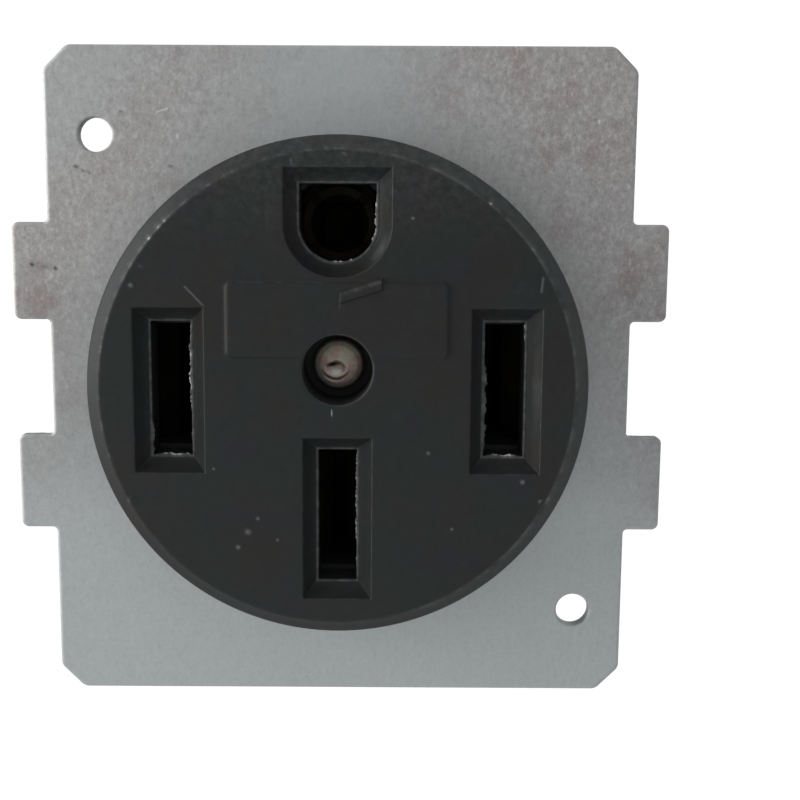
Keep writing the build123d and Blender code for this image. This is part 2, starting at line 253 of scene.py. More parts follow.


# %% [markdown]
# ## Black moulding
#
# The face and the housing are a black phenolic moulding that has gone dull with handling. It isn't
# one black: under soft light it clouds between a greenish and a brownish dark grey, fine dust lies
# in its pores, and every edge that a plug has rubbed is paler. Towards the top the pale dust is
# laid on more strongly as painted light from above. A single dark colour would look like rubber,
# so clouds of different pitch shift the colour, and the mesh carries a value of wear and painted
# light that brings the pale edges and the painted highlights.

# %% Moulding finish
def moulding_finish(name):
    """Two clouds change the hue, dust, wear and painted light lighten it, and pores roughen the
    surface.
    """
    finish = Finish(name, {"Specular IOR Level": 0.30})
    cloud = finish.noise(finish.place(), pitch=9.0, detail=3.0)
    tint = finish.noise(finish.place(offset=(40.0, 7.0, 3.0)), pitch=4.5, detail=2.0)
    dust = finish.noise(finish.place(offset=(9.0, 70.0, 5.0)), pitch=0.9, detail=5.0,
                        roughness=0.7)
    pores = finish.noise(finish.place(offset=(2.0, 30.0, 8.0)), pitch=0.16, roughness=0.6)
    worn_and_painted_light = finish.attribute("wear_and_painted_light")
    greenish = (0.0084, 0.0122, 0.0110, 1.0)
    brownish = (0.0124, 0.0103, 0.0096, 1.0)
    bluish = (0.0086, 0.0101, 0.0138, 1.0)
    pale = (0.095, 0.102, 0.098, 1.0)
    scuff_and_highlight = (0.56, 0.57, 0.56, 1.0)
    base = finish.mix(cloud.above(0.42, 0.62), greenish, brownish)
    base = finish.mix(tint.above(0.52, 0.7), base, bluish)
    # Painted light: towards the top the pale dust is laid on more strongly, as light from above.
    dust_and_top_light_share = 0.07 + finish.coordinate(2).above(14.0, 25.0) * 0.34
    dust_and_top_light = finish.mix(dust.above(0.25, 0.95) * dust_and_top_light_share, base, pale)
    # The wear value also carries painted light. Where it does, the pale and scuffed colours are
    # painted highlight.
    uneven = worn_and_painted_light * (0.45 + dust * 1.1)
    rubbed = finish.mix((uneven * 1.6).above(0.0, 1.0) * 0.8, dust_and_top_light, pale)
    finish.link("Base Color", finish.mix(uneven.above(0.55, 1.0), rubbed, scuff_and_highlight))
    finish.link("Roughness", 0.46 + dust * 0.18 + cloud * 0.08 - worn_and_painted_light * 0.08)
    shallow = finish.relief(cloud, depth=0.06)
    finish.link("Normal", finish.relief(pores + dust * 0.8, depth=0.018, under=shallow))
    return finish.material


moulding = moulding_finish("black_moulding")
print("made", moulding.name)


# %% [markdown]
# ## Dull zinc plate
#
# The strap is cold-rolled steel with a thin zinc plate that has clouded. The photograph shows a
# fine mottle that is warm and busy on the ears and at the upper right, and cool and almost even
# below and at the upper left, with pin-prick bright pits and a few dark spots. So the place and
# one slow cloud say how weathered the plate is, and that sets both the warmth of the colour and
# the strength of the mottle. The cool colour is also the brighter one, so the lower part is
# lighter as a painted reflection of light from below. A band at mid height beside the moulding is
# darkened as its painted shadow. A mirror-like metal would show only the room, so the plate is
# about half metal and half oxide, which is how a dull zinc surface returns light. Wear above zero
# is rubbed bright, and wear below zero is soiled.

# %% Zinc finish
def zinc_finish(name):
    """Place and cloud set how weathered the plate is and how much painted light from below it
    gets; each pattern then lays a tone over it.
    """
    finish = Finish(name, {})
    cool_and_lit = (0.415, 0.432, 0.434, 1.0)
    warm = (0.370, 0.350, 0.342, 1.0)
    rust = (0.265, 0.195, 0.190, 1.0)
    dark = (0.105, 0.105, 0.108, 1.0)
    soil = (0.035, 0.033, 0.036, 1.0)
    bright = (0.62, 0.64, 0.64, 1.0)
    rolled = (1.0, 1.0, 0.7)
    drawn = (1.0, 1.0, 0.06)
    blotted = (1.0, 1.0, 0.8)
    cloud = finish.noise(finish.place(), pitch=26.0, detail=2.0)
    mottle = finish.noise(finish.place(rolled, offset=(3.0, 0.0, 11.0)), pitch=0.55, detail=3.0,
                          roughness=0.6, distortion=0.3)
    grain = finish.noise(finish.place(rolled, offset=(17.0, 0.0, 5.0)), pitch=0.24, detail=2.0)
    pits = finish.noise(finish.place(offset=(21.0, 4.0, 60.0)), pitch=0.42, detail=0.0)
    streak = finish.noise(finish.place(drawn, offset=(8.0, 0.0, 2.0)), pitch=0.5, detail=2.0)
    stain = finish.noise(finish.place(blotted, offset=(5.0, 0.0, 90.0)), pitch=5.0, detail=3.0,
                         roughness=0.6)
    side = finish.coordinate(0)
    rise = finish.coordinate(2)
    # Painted light: low on the plate, the cool and brighter colour stands for a reflection of
    # light from below. Higher up and further out, the plate is weathered, warmer and darker.
    kept_cool = (rise - side - 49.0).above(0.0, 13.0)
    weathered_and_shaded = (rise * 0.9 + abs(side) * 1.5 + cloud * 20.0 - 37.0).above(0.0, 40.0)
    weathered_and_shaded = weathered_and_shaded * (1.0 - kept_cool * 0.6)
    busy = 0.30 + weathered_and_shaded * 0.55
    base = finish.mix(weathered_and_shaded, cool_and_lit, warm)
    rusty = stain.above(0.50, 0.70) * weathered_and_shaded * 0.60
    base = finish.mix(rusty, base, rust)
    base = finish.mix(mottle.above(0.50, 0.70) * busy * 0.38, base, bright)
    base = finish.mix((1.0 - mottle).above(0.50, 0.70) * busy * 0.30, base, dark)
    base = finish.mix(grain.above(0.54, 0.72) * busy * 0.30, base, dark)
    base = finish.mix((1.0 - grain).above(0.54, 0.72) * busy * 0.28, base, bright)
    base = finish.mix(streak.above(0.62, 0.82) * 0.10, base, bright)
    # Painted shadow: a band at mid height beside the moulding is darkened as the moulding's
    # shadow.
    painted_shadow_beside_face = 1.0 - (rise * rise * 0.0035).above(0.0, 1.0)
    base = finish.mix(painted_shadow_beside_face * (0.35 + cloud) * 0.17, base, dark)
    base = finish.mix(pits.above(0.80, 0.86) * busy * 0.5, base, bright)
    worn_and_painted_light = finish.attribute("wear_and_painted_light")
    base = finish.mix((worn_and_painted_light * -1.2).above(0.0, 1.0), base, soil)
    finish.link("Base Color", finish.mix(worn_and_painted_light.above(0.0, 1.0) * 0.8, base, bright))
    finish.link("Metallic", 0.60 - rusty * 0.4 - weathered_and_shaded * 0.10)
    finish.link("Roughness", 0.50 + mottle * 0.12 + weathered_and_shaded * 0.05 - worn_and_painted_light * 0.10)
    wavy = finish.relief(cloud, depth=0.25)
    finish.link("Normal", finish.relief(mottle + grain * 0.6, depth=0.008, under=wavy))
    return finish.material


zinc = zinc_finish("zinc_plate")
print("made", zinc.name)


# %% [markdown]
# ## Rivet, screws and brass
#
# The rivet is bare steel that was pressed over and has taken a brown stain in patches. The clamp
# screws are brighter plated steel, the ground one with a green dye over the plate. The lugs are
# drawn brass, whose faint lines run along the strip. The contacts and the bonding strip get the
# same brass painted almost black as painted shade, which is why nothing shines out of the slots.

# %% Metal finishes
def steel_finish(name, colour, stain, stain_share, roughness, dye=0.0):
    """Steel, stained in patches and finely pitted; a dye makes it less metallic."""
    finish = Finish(name, {})
    cloud = finish.noise(finish.place(), pitch=1.6, roughness=0.6)
    fine = finish.noise(finish.place(offset=(5.0, 5.0, 5.0)), pitch=0.25, detail=4.0,
                        roughness=0.65)
    worn_and_painted_light = finish.attribute("wear_and_painted_light")
    bare = (0.62, 0.61, 0.58, 1.0)
    soil = (0.020, 0.017, 0.015, 1.0)
    pitted = (0.09, 0.09, 0.08, 1.0)
    base = finish.mix(cloud.above(0.40, 0.60) * stain_share, colour, stain)
    base = finish.mix(fine.above(0.35, 0.8) * 0.30, base, pitted)
    # On the rivet's head the soil colour is painted shade in the dimple, and the bare colour below
    # is painted highlight.
    base = finish.mix((worn_and_painted_light * -1.2).above(0.0, 1.0), base, soil)
    finish.link("Base Color", finish.mix(worn_and_painted_light.above(0.0, 1.0) * 0.8, base, bare))
    finish.link("Metallic", (1.0 - dye) * (0.9 - cloud * 0.25) + worn_and_painted_light.above(0.0, 1.0) * dye)
    finish.link("Roughness", roughness + fine * 0.16 - worn_and_painted_light * 0.1)
    finish.link("Normal", finish.relief(fine + cloud, depth=0.02))
    return finish.material


def brass_finish(name, colour, tarnish, roughness):
    """Brass with drawing lines along the strip and tarnish in clouds."""
    finish = Finish(name, {})
    drawn = finish.noise(finish.place((1.0, 0.05, 1.0)), pitch=0.35)
    cloud = finish.noise(finish.place(), pitch=4.0)
    base = finish.mix(cloud.above(0.30, 0.62) * 0.85, colour, tarnish)
    finish.link("Base Color", base)
    finish.link("Metallic", 0.95 - cloud * 0.2)
    finish.link("Roughness", roughness + drawn * 0.16 + cloud * 0.12)
    finish.link("Normal", finish.relief(drawn, depth=0.006))
    return finish.material


rivet_steel = steel_finish("rivet_steel", colour=(0.42, 0.40, 0.315, 1.0),
                           stain=(0.45, 0.26, 0.225, 1.0), stain_share=0.8, roughness=0.42)
screw_steel = steel_finish("screw_steel", colour=(0.55, 0.55, 0.53, 1.0),
                           stain=(0.42, 0.40, 0.34, 1.0), stain_share=0.5, roughness=0.28)
green_steel = steel_finish("green_screw", colour=(0.03, 0.16, 0.06, 1.0),
                           stain=(0.02, 0.10, 0.045, 1.0), stain_share=0.6, roughness=0.34,
                           dye=0.75)
brass = brass_finish("brass", colour=(0.60, 0.43, 0.19, 1.0),
                     tarnish=(0.30, 0.20, 0.09, 1.0), roughness=0.26)
# Painted shade: this brass is made almost black so that the slots look dark inside.
painted_shade_brass = brass_finish("painted_shade_brass", colour=(0.030, 0.023, 0.014, 1.0),
                      tarnish=(0.012, 0.010, 0.008, 1.0), roughness=0.55)
print("made", [m.name for m in (rivet_steel, screw_steel, green_steel, brass, painted_shade_brass)])


# %% [markdown]
# ## Formulas that the pieces share
#
# A worn edge or a dimple is a sum of a few plain curves. A step goes smoothly from 0 to 1, a bell
# is 1 in its middle and fades to both sides, and a ripple is a wave that doesn't repeat within a
# piece, so it makes an edge uneven without any random numbers: the scene comes out the same each
# time.

# %% Steps, bells and ripples
def step(value, low, high):
    """0 below the low value, 1 above the high one, and a smooth step between."""
    share = np.clip((np.asarray(value) - low) / (high - low), 0.0, 1.0)
    return share * share * (3.0 - 2.0 * share)


def bell(away, width):
    """1 at no distance, and about a third at one width."""
    return np.exp(-(away / width) ** 2)


def ripple(along, seed):
    """Uneven wave from 0 to 1 along a length: sines whose pitches have no common measure."""
    pitch = np.array([3.1, 1.73, 0.97, 0.53, 0.31])
    share = np.array([0.9, 0.8, 0.7, 0.5, 0.35])
    phase = seed * np.array([1.3, 2.1, 0.7, 4.2, 5.9])
    wave = share * np.sin(2 * np.pi * np.asarray(along)[..., None] / pitch + phase)
    return 0.5 + 0.5 * np.clip(wave.sum(axis=-1) / 1.9, -1.0, 1.0)


def how_long(vectors):
    """Length of each vector of an array."""
    return np.linalg.norm(vectors, axis=-1)


def turned(angle):
    """Unit vector at each angle in radians, anticlockwise from +x."""
    return np.stack([np.cos(angle), np.sin(angle)], axis=-1)


def inward_sides(corners):
    """Inward unit normal of each side of an anticlockwise outline: its direction turned left."""
    side = np.roll(corners, -1, axis=0) - corners
    return np.stack([-side[:, 1], side[:, 0]], axis=-1) / how_long(side)[:, None]


sample = ripple(np.arange(99.0), 1.0)
print("a ripple runs from", round(float(sample.min()), 2), "to", round(float(sample.max()), 2))


# %% [markdown]
# ## From arrays to a mesh
#
# Every new piece is a closed shell of two kinds of patch. A grid is a profile carried along a
# path: row by row and column by column. A fill is the flat stretch between outlines, cut into
# triangles that pass through every outline point. Rings that two patches share have the same
# points, so welding them closes the shell.

# %% From the face's own measures to space
def to_space(flat, height):
    """Places on the face and heights in millimetres as points in metres: (x, -h, z)."""
    flat = np.asarray(flat, float)
    height = np.broadcast_to(height, flat.shape[:-1])
    return np.stack([flat[..., 0], -height, flat[..., 1]], axis=-1) * MM


print("the rivet's place on the face's plane:", to_space(rivet_place, face_height).round(4))


# %% Shell builder
class Shell:
    """Patches of one closed piece, each with its points, its faces and a value of wear and painted
    light per point.
    """

    def __init__(self, name):
        self.name = name
        self.points, self.faces, self.wear_and_painted_light = [], [], []
        self.count = 0

    def add(self, points, faces, wear_and_painted_light=0.0):
        """One patch: its points, its faces by point number and its wear and painted light."""
        points = np.asarray(points, float)
        self.wear_and_painted_light.append(np.broadcast_to(wear_and_painted_light, points.shape[:-1]).ravel())
        points = points.reshape(-1, 3)
        self.points.append(points)
        self.faces.append(np.asarray(faces) + self.count)
        self.count += len(points)

    def grid(self, points, wear_and_painted_light=0.0):
        """A grid of rows and columns whose last column joins its first; each cell is one quad."""
        rows, columns = points.shape[:2]
        here = np.arange(rows * columns).reshape(rows, columns)
        ahead = np.roll(here, -1, axis=1)
        cells = np.stack([here[:-1], ahead[:-1], ahead[1:], here[1:]], axis=-1)
        self.add(points, cells.reshape(-1, 4), wear_and_painted_light)

    def build(self, material, weld=0.003, crease=38.0):
        """Joins the patches, turns every face outwards and splits the shading at sharp creases."""
        corners = np.concatenate([f.ravel() for f in self.faces])
        sizes = np.concatenate([np.full(len(f), f.shape[1]) for f in self.faces])
        starts = np.cumsum(sizes) - sizes
        mesh = bpy.data.meshes.new(self.name)
        mesh.vertices.add(self.count)
        mesh.vertices.foreach_set("co", np.concatenate(self.points).astype(np.float32).ravel())
        mesh.loops.add(len(corners))
        mesh.loops.foreach_set("vertex_index", corners.astype(np.int32))
        mesh.polygons.add(len(sizes))
        mesh.polygons.foreach_set("loop_start", starts.astype(np.int32))
        mesh.update(calc_edges=True)
        carried = mesh.attributes.new("wear_and_painted_light", "FLOAT", "POINT")
        carried.data.foreach_set("value", np.concatenate(self.wear_and_painted_light))
        work = bmesh.new()
        work.from_mesh(mesh)
        bmesh.ops.remove_doubles(work, verts=work.verts, dist=weld * MM)
        bmesh.ops.recalc_face_normals(work, faces=work.faces)
        open_edges = sum(1 for edge in work.edges if len(edge.link_faces) != 2)
        work.to_mesh(mesh)
        work.free()
        mesh.polygons.foreach_set("use_smooth", np.ones(len(mesh.polygons), bool))
        mesh.set_sharp_from_angle(angle=np.radians(crease))
        mesh.materials.append(material)
        piece = bpy.data.objects.new(self.name, mesh)
        scene.collection.objects.link(piece)
        print(self.name, "faces", len(mesh.polygons), "open edges", open_edges)
        return piece


print("shell builder ready")


# %% Fill between outlines
def inside(places, ring):
    """Whether a place is inside a closed outline: an odd number of sides cross its ray."""
    after = np.roll(ring, -1, axis=0)
    place, side = np.nonzero((ring[:, 1] > places[:, 1:]) != (after[:, 1] > places[:, 1:]))
    start, end, here = ring[side], after[side], places[place]
    share = (here[:, 1] - start[:, 1]) / (end[:, 1] - start[:, 1])
    crossing = start[:, 0] + share * (end[:, 0] - start[:, 0])
    return np.bincount(place, weights=here[:, 0] < crossing, minlength=len(places)) % 2 == 1


def fill(outer, holes, seeds=np.zeros((0, 2)), paths=()):
    """Triangles inside one outline and outside the others.

    A constrained Delaunay mesh runs through each outline, each open path and the seed points,
    and a triangle stays when its centre is inside the outer outline and in none of the holes.
    Blender keeps its points in single precision, so the outlines are rounded to it before the
    centres are tested against them.
    """
    rings = [np.float32(ring).astype(float) for ring in (outer, *holes)]
    points, edges, count = [], [], 0
    for path, closed in [(r, True) for r in rings] + [(p, False) for p in paths]:
        order = np.arange(len(path)) + count
        links = np.stack([order, np.roll(order, -1)], axis=1)
        edges.append(links if closed else links[:-1])
        points.append(path)
        count += len(path)
    points.append(seeds)
    flat = list(map(Vector, np.concatenate(points)))
    done = delaunay_2d_cdt(flat, np.concatenate(edges).tolist(), [], 0, 1e-7, False)
    places = np.array([tuple(p) for p in done[0]])
    triangles = np.array(done[2])
    middles = places[triangles].mean(axis=1)
    keep = inside(middles, rings[0])
    for hole in rings[1:]:
        keep &= ~inside(middles, hole)
    return places, triangles[keep]


def even_seeds(low, high, pitch):
    """Points of a triangular pattern over a rectangle."""
    rows = np.arange(low[1], high[1], pitch * np.sqrt(0.75))
    columns = np.arange(low[0], high[0], pitch)
    x, z = np.meshgrid(columns, rows)
    x = x + (np.arange(len(rows)) % 2)[:, None] * pitch / 2
    return np.stack([x.ravel(), z.ravel()], axis=-1)


square = np.array([(1.0, -1.0), (1.0, 1.0), (-1.0, 1.0), (-1.0, -1.0)])
print("a square with a square hole is filled by", len(fill(square, [square / 2])[1]), "triangles")


# %% [markdown]
# ## Outlines
#
# Each opening in the face is a rectangle with rounded corners, and the ground opening is one whose
# lower corners are so round that they meet. Growing an opening by its bevel keeps its corners
# sharp, as the mould does, so an outline is worked out again at each margin with the same number
# of points instead of being offset. The strap's outline has corners of different radii, so a
# second function rounds any list of corners.

# %% Outline with rounded corners
arc_steps = 8


def rounded_outline(corners, radii, pitch):
    """Closed outline with rounded corners: its points and their outward normals.

    At each corner the arc's centre lies on the bisector, and the arc turns from one side's
    normal to the next. A straight stretch is evenly divided and has its side's normal.
    """
    corners = np.asarray(corners, float)
    normal = -inward_sides(corners)
    points, normals = [], []
    for k, (corner, radius) in enumerate(zip(corners, radii)):
        before, after = normal[k - 1], normal[k]
        turn = np.arctan2(before[0] * after[1] - before[1] * after[0], before @ after)
        side = np.sign(turn)
        middle = corner - side * radius * (before + after) / (1.0 + before @ after)
        unit = turned(np.arctan2(before[1], before[0]) + np.linspace(0.0, turn, arc_steps + 1))
        points.append(middle + side * radius * unit)
        normals.append(unit)
    path, directions = [], []
    for k in range(len(corners)):
        start, end = points[k][-1], points[(k + 1) % len(corners)][0]
        count = max(int(how_long(end - start) / pitch), 1)
        share = np.linspace(0.0, 1.0, count + 1)[1:-1, None]
        path += [points[k], start + share * (end - start)]
        directions += [normals[k], np.tile(normal[k], (len(share), 1))]
    return np.concatenate(path), np.concatenate(directions)


print("a rounded square has", len(rounded_outline(square, [0.3] * 4, 0.1)[0]), "points")


# %% Openings in the face
face_wall = 5.4
point_pitch = 0.14
corner_radius = 0.1
corner_points = 5
round_end_points = 44
# Flash begins at the first distance from the side that it stands on and is full at the second.
flash_bands = (1.4, 0.4)
flash_fade = 0.3


class Opening:
    """One plug opening: its centre, half sizes, ragged stretches, bevel highlight and its end.

    A ragged stretch is (direction in degrees, from, to, reach): flash from the moulding that
    stands into the hole on the side that faces that direction, between two places along the
    side. The bevel's highlight stretch is (direction in degrees, spread, wear): a painted
    highlight on the bevel that faces that direction.
    """

    def __init__(self, name, centre, half, ragged, polished, round_end=False):
        self.name, self.centre, self.half = name, np.array(centre), np.array(half)
        self.ragged, self.polished, self.round_end = ragged, polished, round_end
        width, height = 2 * self.half
        sides = [height, width, height, width]
        if round_end:
            sides = [height / 2, width, height / 2, 0.0]
        self.side_points = np.ceil(np.array(sides) / point_pitch).astype(int)
        self.end_points = round_end_points if round_end else corner_points

    def ring(self, grow):
        """Outline grown by a margin, anticlockwise from the lower right corner."""
        half = self.half + grow
        low_radius = half[0] - 0.01 if self.round_end else corner_radius
        parts = []
        low, high = (low_radius, self.end_points), (corner_radius, corner_points)
        corners = [((1, -1), *low), ((1, 1), *high), ((-1, 1), *high), ((-1, -1), *low)]
        for turn, (sign, radius, count) in enumerate(corners):
            angles = np.radians(np.linspace(-90.0, 0.0, count + 1) + 90.0 * turn)
            middle = self.centre + np.array(sign) * (half - radius)
            parts.append(middle + radius * turned(angles))
        path = []
        for turn, part in enumerate(parts):
            following = parts[(turn + 1) % 4]
            share = np.linspace(0.0, 1.0, self.side_points[turn] + 2)[1:-1, None]
            path += [part, part[-1] + share * (following[0] - part[-1])]
        return np.concatenate(path)

    def outside(self, places, grow=0.0):
        """Distance from the outline grown by a margin, negative inside it."""
        half = self.half + grow
        over = np.abs(places - self.centre) - half
        box = how_long(np.maximum(over, 0.0)) + np.minimum(over.max(axis=-1), 0.0)
        if not self.round_end:
            return box
        middle = self.centre - [0.0, half[1] - half[0]]
        upper = np.maximum(box, middle[1] - places[..., 1])
        return np.minimum(upper, how_long(places - middle) - half[0])

    def flash(self):
        """How far the flash stands into the hole at each point of the outline, in millimetres."""
        outline = self.ring(0.0) - self.centre
        reach = np.zeros(len(outline))
        for direction, start, end, most in self.ragged:
            facing = turned(np.radians(direction))
            across = np.array([-facing[1], facing[0]])
            far, close = self.half @ np.abs(facing) - np.array(flash_bands)
            near = step(outline @ facing, far, close)
            along = outline @ across
            begun = step(along, start - flash_fade, start + flash_fade)
            window = begun * (1.0 - step(along, end - flash_fade, end + flash_fade))
            wave = ripple(along, most * 40.0 + direction) ** 1.5
            reach = np.maximum(reach, near * window * most * (0.25 + 0.75 * wave))
        return reach

    def polish(self):
        """How strong the bevel's painted highlight is at each point of the outline, from 0 to 1.
        """
        outline = self.ring(0.0) - self.centre
        angle = np.degrees(np.arctan2(outline[:, 1], outline[:, 0]))
        direction, spread, most = self.polished
        return most * bell(angle - direction, spread)


print("an opening's side has a point each", point_pitch, "mm")


# %% The four openings
# The last stretch of each opening is its bevel's painted highlight. It lies on the right-hand
# bevels, which face the light, and at the ground opening's lower right.
line_x_slot = Opening(
    "line_x", centre=(-17.92, 0.0), half=(2.15, 7.3),
    ragged=[(0, -6.4, 7.2, 0.10), (0, -1.6, 6.4, 0.34),
            (180, 3.9, 7.1, 0.30), (270, -1.9, 2.0, 0.32)],
    polished=(0.0, 80.0, 0.02))
line_y_slot = Opening(
    "line_y", centre=(17.92, 0.0), half=(2.15, 7.3),
    ragged=[(180, -2.6, 6.9, 0.42), (180, -7.0, 7.1, 0.08),
            (270, -2.0, 1.6, 0.34), (0, 5.4, 7.1, 0.22)],
    polished=(0.0, 80.0, 0.26))
neutral_slot = Opening(
    "neutral", centre=(0.0, -13.92), half=(2.1, 7.3),
    ragged=[(0, -7.0, 7.0, 0.10), (0, -2.8, 6.9, 0.20), (180, -6.5, 7.1, 0.06)],
    polished=(0.0, 80.0, 0.03))
ground_opening = Opening(
    "ground", centre=(0.0, 17.8), half=(4.1, 4.15),
    ragged=[(0, -1.8, 2.9, 0.24), (0, -4.0, 4.0, 0.07),
            (270, -2.6, 1.6, 0.16), (90, -4.0, 4.0, 0.05)],
    polished=(-32.0, 20.0, 0.34), round_end=True)
openings = [line_x_slot, line_y_slot, neutral_slot, ground_opening]
print("openings:", {o.name: len(o.ring(0.0)) for o in openings})


# %% [markdown]
# ## Relief of the face
#
# The face is flat apart from what the mould left on it: a bare name panel three tenths of a
# millimetre proud, a small slanted patch at its top edge, a thin witness line above the left slot,
# and specks and scuffs. A few of the scuff lines lie along edges and are painted highlights. All
# of them are one height that is worked out for any place on the face, so outlines and fill agree
# wherever they meet.

# %% What the mould and use left on the face
# A speck is (x, z, size), a scuff is (start, end, width, depth) and the witness line is (start,
# end, width, height).
panel_centre = np.array([0.0, 7.6])
panel_half = np.array([11.95, 4.175])
panel_slope = 0.42
panel_corner = 0.8
patch_corners = np.array([(0.16, 9.24), (4.87, 10.71), (4.86, 12.17), (0.16, 10.7)])
patch_slope = 0.22
patch_corner = 0.25
well_radius = 3.75
well_floor = face_height - 6.4

witness_line = ((-16.69, 11.84), (-13.98, 8.98), 0.13, 0.03)
specks = [
    (-8.50, -13.83, 0.22), (-9.54, -15.32, 0.34), (-10.65, -17.02, 0.26), (9.78, -6.56, 0.22),
    (19.91, -9.68, 0.26), (21.88, -11.84, 0.24), (-22.13, -11.89, 0.28), (-6.4, -16.2, 0.18),
    (-21.6, 11.2, 0.26), (7.9, 18.3, 0.18), (-13.2, -8.4, 0.16), (12.4, -14.9, 0.17),
]
# Five of these lines are painted highlights along edges that face the light, not scuffs. They are
# the one along the rim's inner edge from (19.68, 16.65), the two along the patch's top and left
# edges, the one on the witness line and the one along the panel's top edge.
scuffs_and_highlights = [
    ((-0.57, -1.50), (-0.60, -2.62), 0.10, 0.85), ((21.56, 12.2), (21.4, 10.7), 0.13, 0.6),
    ((-4.95, 24.6), (-4.72, 23.7), 0.13, 0.42), ((0.6, 25.0), (0.9, 24.8), 0.20, 0.5),
    ((-7.3, 23.3), (-7.0, 21.9), 0.22, 0.2), ((15.3, 20.6), (16.1, 19.8), 0.16, 0.4),
    ((19.68, 16.65), (21.79, 13.68), 0.14, 0.3), ((-20.7, 13.3), (-20.4, 13.1), 0.2, 0.3),
    ((0.45, 10.42), (4.65, 11.78), 0.30, 0.30), ((0.24, 10.4), (0.22, 9.0), 0.12, 0.5),
    ((-16.0, 11.1), (-14.0, 9.0), 0.12, 0.5), ((-7.4, 19.6), (-7.3, 17.0), 0.25, 0.14),
    ((-8.2, 22.6), (-8.1, 20.9), 0.2, 0.12), ((-11.4, 11.60), (-0.4, 11.60), 0.15, 0.17),
    ((19.2, 11.6), (18.9, 10.6), 0.3, 0.16), ((20.3, 10.9), (20.4, 10.3), 0.25, 0.2),
]
print("specks:", len(specks), "scuffs:", len(scuffs_and_highlights))


# %% Height and wear of any place on the face
def rectangle_depth(places, centre, half, radius=0.0):
    """Distance inside a rectangle with rounded corners, negative outside it."""
    over = np.abs(places - centre) - half + radius
    return radius - how_long(np.maximum(over, 0.0)) - np.minimum(over.max(axis=-1), 0.0)


def polygon_depth(places, corners):
    """Distance inside a convex outline: the least of the distances to its sides' lines."""
    return ((places[..., None, :] - corners) * inward_sides(corners)).sum(axis=-1).min(axis=-1)


def line_distance(places, start, end):
    """Distance to a straight stretch between two places, which may be one place."""
    along = np.subtract(end, start)
    share = np.clip((places - start) @ along / max(along @ along, 1e-9), 0.0, 1.0)
    return how_long(places - start - share[..., None] * along)


def relief(places):
    """Height of the face's relief: each raised form is a smooth slope from its own outline."""
    depth = rectangle_depth(places, panel_centre, panel_half, panel_corner)
    rise = panel_rise * step(depth, 0.0, panel_slope)
    fainter = step(-places[..., 1], -5.2, -3.4) * step(places[..., 0], -9.0, 3.0)
    rise = rise * (1.0 - 0.35 * fainter)
    depth = polygon_depth(places, patch_corners)
    rise = np.maximum(rise, (panel_rise + patch_rise) * step(depth, 0.0, patch_slope))
    start, end, width, height = witness_line
    rise = rise + height * bell(line_distance(places, start, end), width)
    for x, z, size in specks:
        rise = rise + 0.45 * size * bell(how_long(places - [x, z]), size)
    for start, end, width, depth in scuffs_and_highlights:
        rise = rise - 0.05 * depth * bell(line_distance(places, start, end), width)
    return np.minimum(rise, panel_rise + patch_rise)


def face_wear_and_highlights(places):
    """Wear and painted highlights of the face: specks and broken scuff lines are paler than the
    skin of the moulding, and the lines along lit edges are painted highlights.
    """
    wear_and_painted_light = np.zeros(places.shape[:-1])
    broken = 0.45 + 0.55 * step(ripple(places @ [0.50, 0.35], 2.0), 0.2, 0.8)
    for x, z, size in specks:
        wear_and_painted_light = np.maximum(wear_and_painted_light, 0.62 * bell(how_long(places - [x, z]), size))
    for start, end, width, depth in scuffs_and_highlights:
        wear_and_painted_light = np.maximum(wear_and_painted_light, depth * broken * bell(line_distance(places, start, end), width))
    return wear_and_painted_light


def seeds_near(start, end, reach, pitch):
    """Close-set points within a reach of a straight stretch."""
    ends = np.array([start, end])
    seeds = even_seeds(ends.min(axis=0) - reach, ends.max(axis=0) + reach, pitch)
    return seeds[line_distance(seeds, start, end) < reach]


print("relief at the panel's middle:", round(float(relief(panel_centre)), 2))


# %% [markdown]
# ## Moulded face
#
# The shell is built from the flat inwards. Each opening carries one profile round its outline: a
# soft lip, a slightly hollow bevel, a fine bead at the bevel's foot that use has polished, ragged
# flash that stands into the hole, and the wall behind. The rim is turned in the same way, with
# chips in its edge where it has been knocked.

# %% Profiles of the lips, the rim and the well
# A row of an opening's profile is its margin, drop, wear and share of the flash. A row of the
# rim's and of the well's has no share. The cove is the slightly hollow bevel: its margin falls
# evenly, and its drop follows a parabola.
cove_top = np.array([1.55, 0.20])
cove_foot = np.array([0.31, 1.90])
cove_hollow = 0.45
share = np.linspace(0.06, 1.0, 8)
bowed = (1.0 + cove_hollow) * share - cove_hollow * share ** 2
cove = np.zeros((len(share), 4))
cove[:, :2] = cove_top + (cove_foot - cove_top) * np.stack([share, bowed], axis=-1)
lip = [
    (1.78, 0.0, 0.0, 0), (1.70, 0.0, 0.0, 0), (1.655, 0.012, 0.08, 0), (1.61, 0.05, 0.24, 0),
    (1.575, 0.11, 0.22, 0), (1.55, 0.18, 0.08, 0),
]
foot = [
    (0.25, 1.90, 0.30, 0), (0.16, 1.865, 0.42, 0), (0.08, 1.885, 0.45, 0.1),
    (0.02, 1.94, 0.42, 0.3), (0.0, 2.00, 0.34, 0.8), (0.0, 2.06, 0.28, 1.0),
    (0.0, 2.13, 0.15, 0.9), (0.0, 2.24, 0.05, 0.2), (0.0, 2.5, 0.0, 0), (0.0, face_wall, 0.0, 0),
]
opening_profile = np.concatenate([lip, cove, foot])
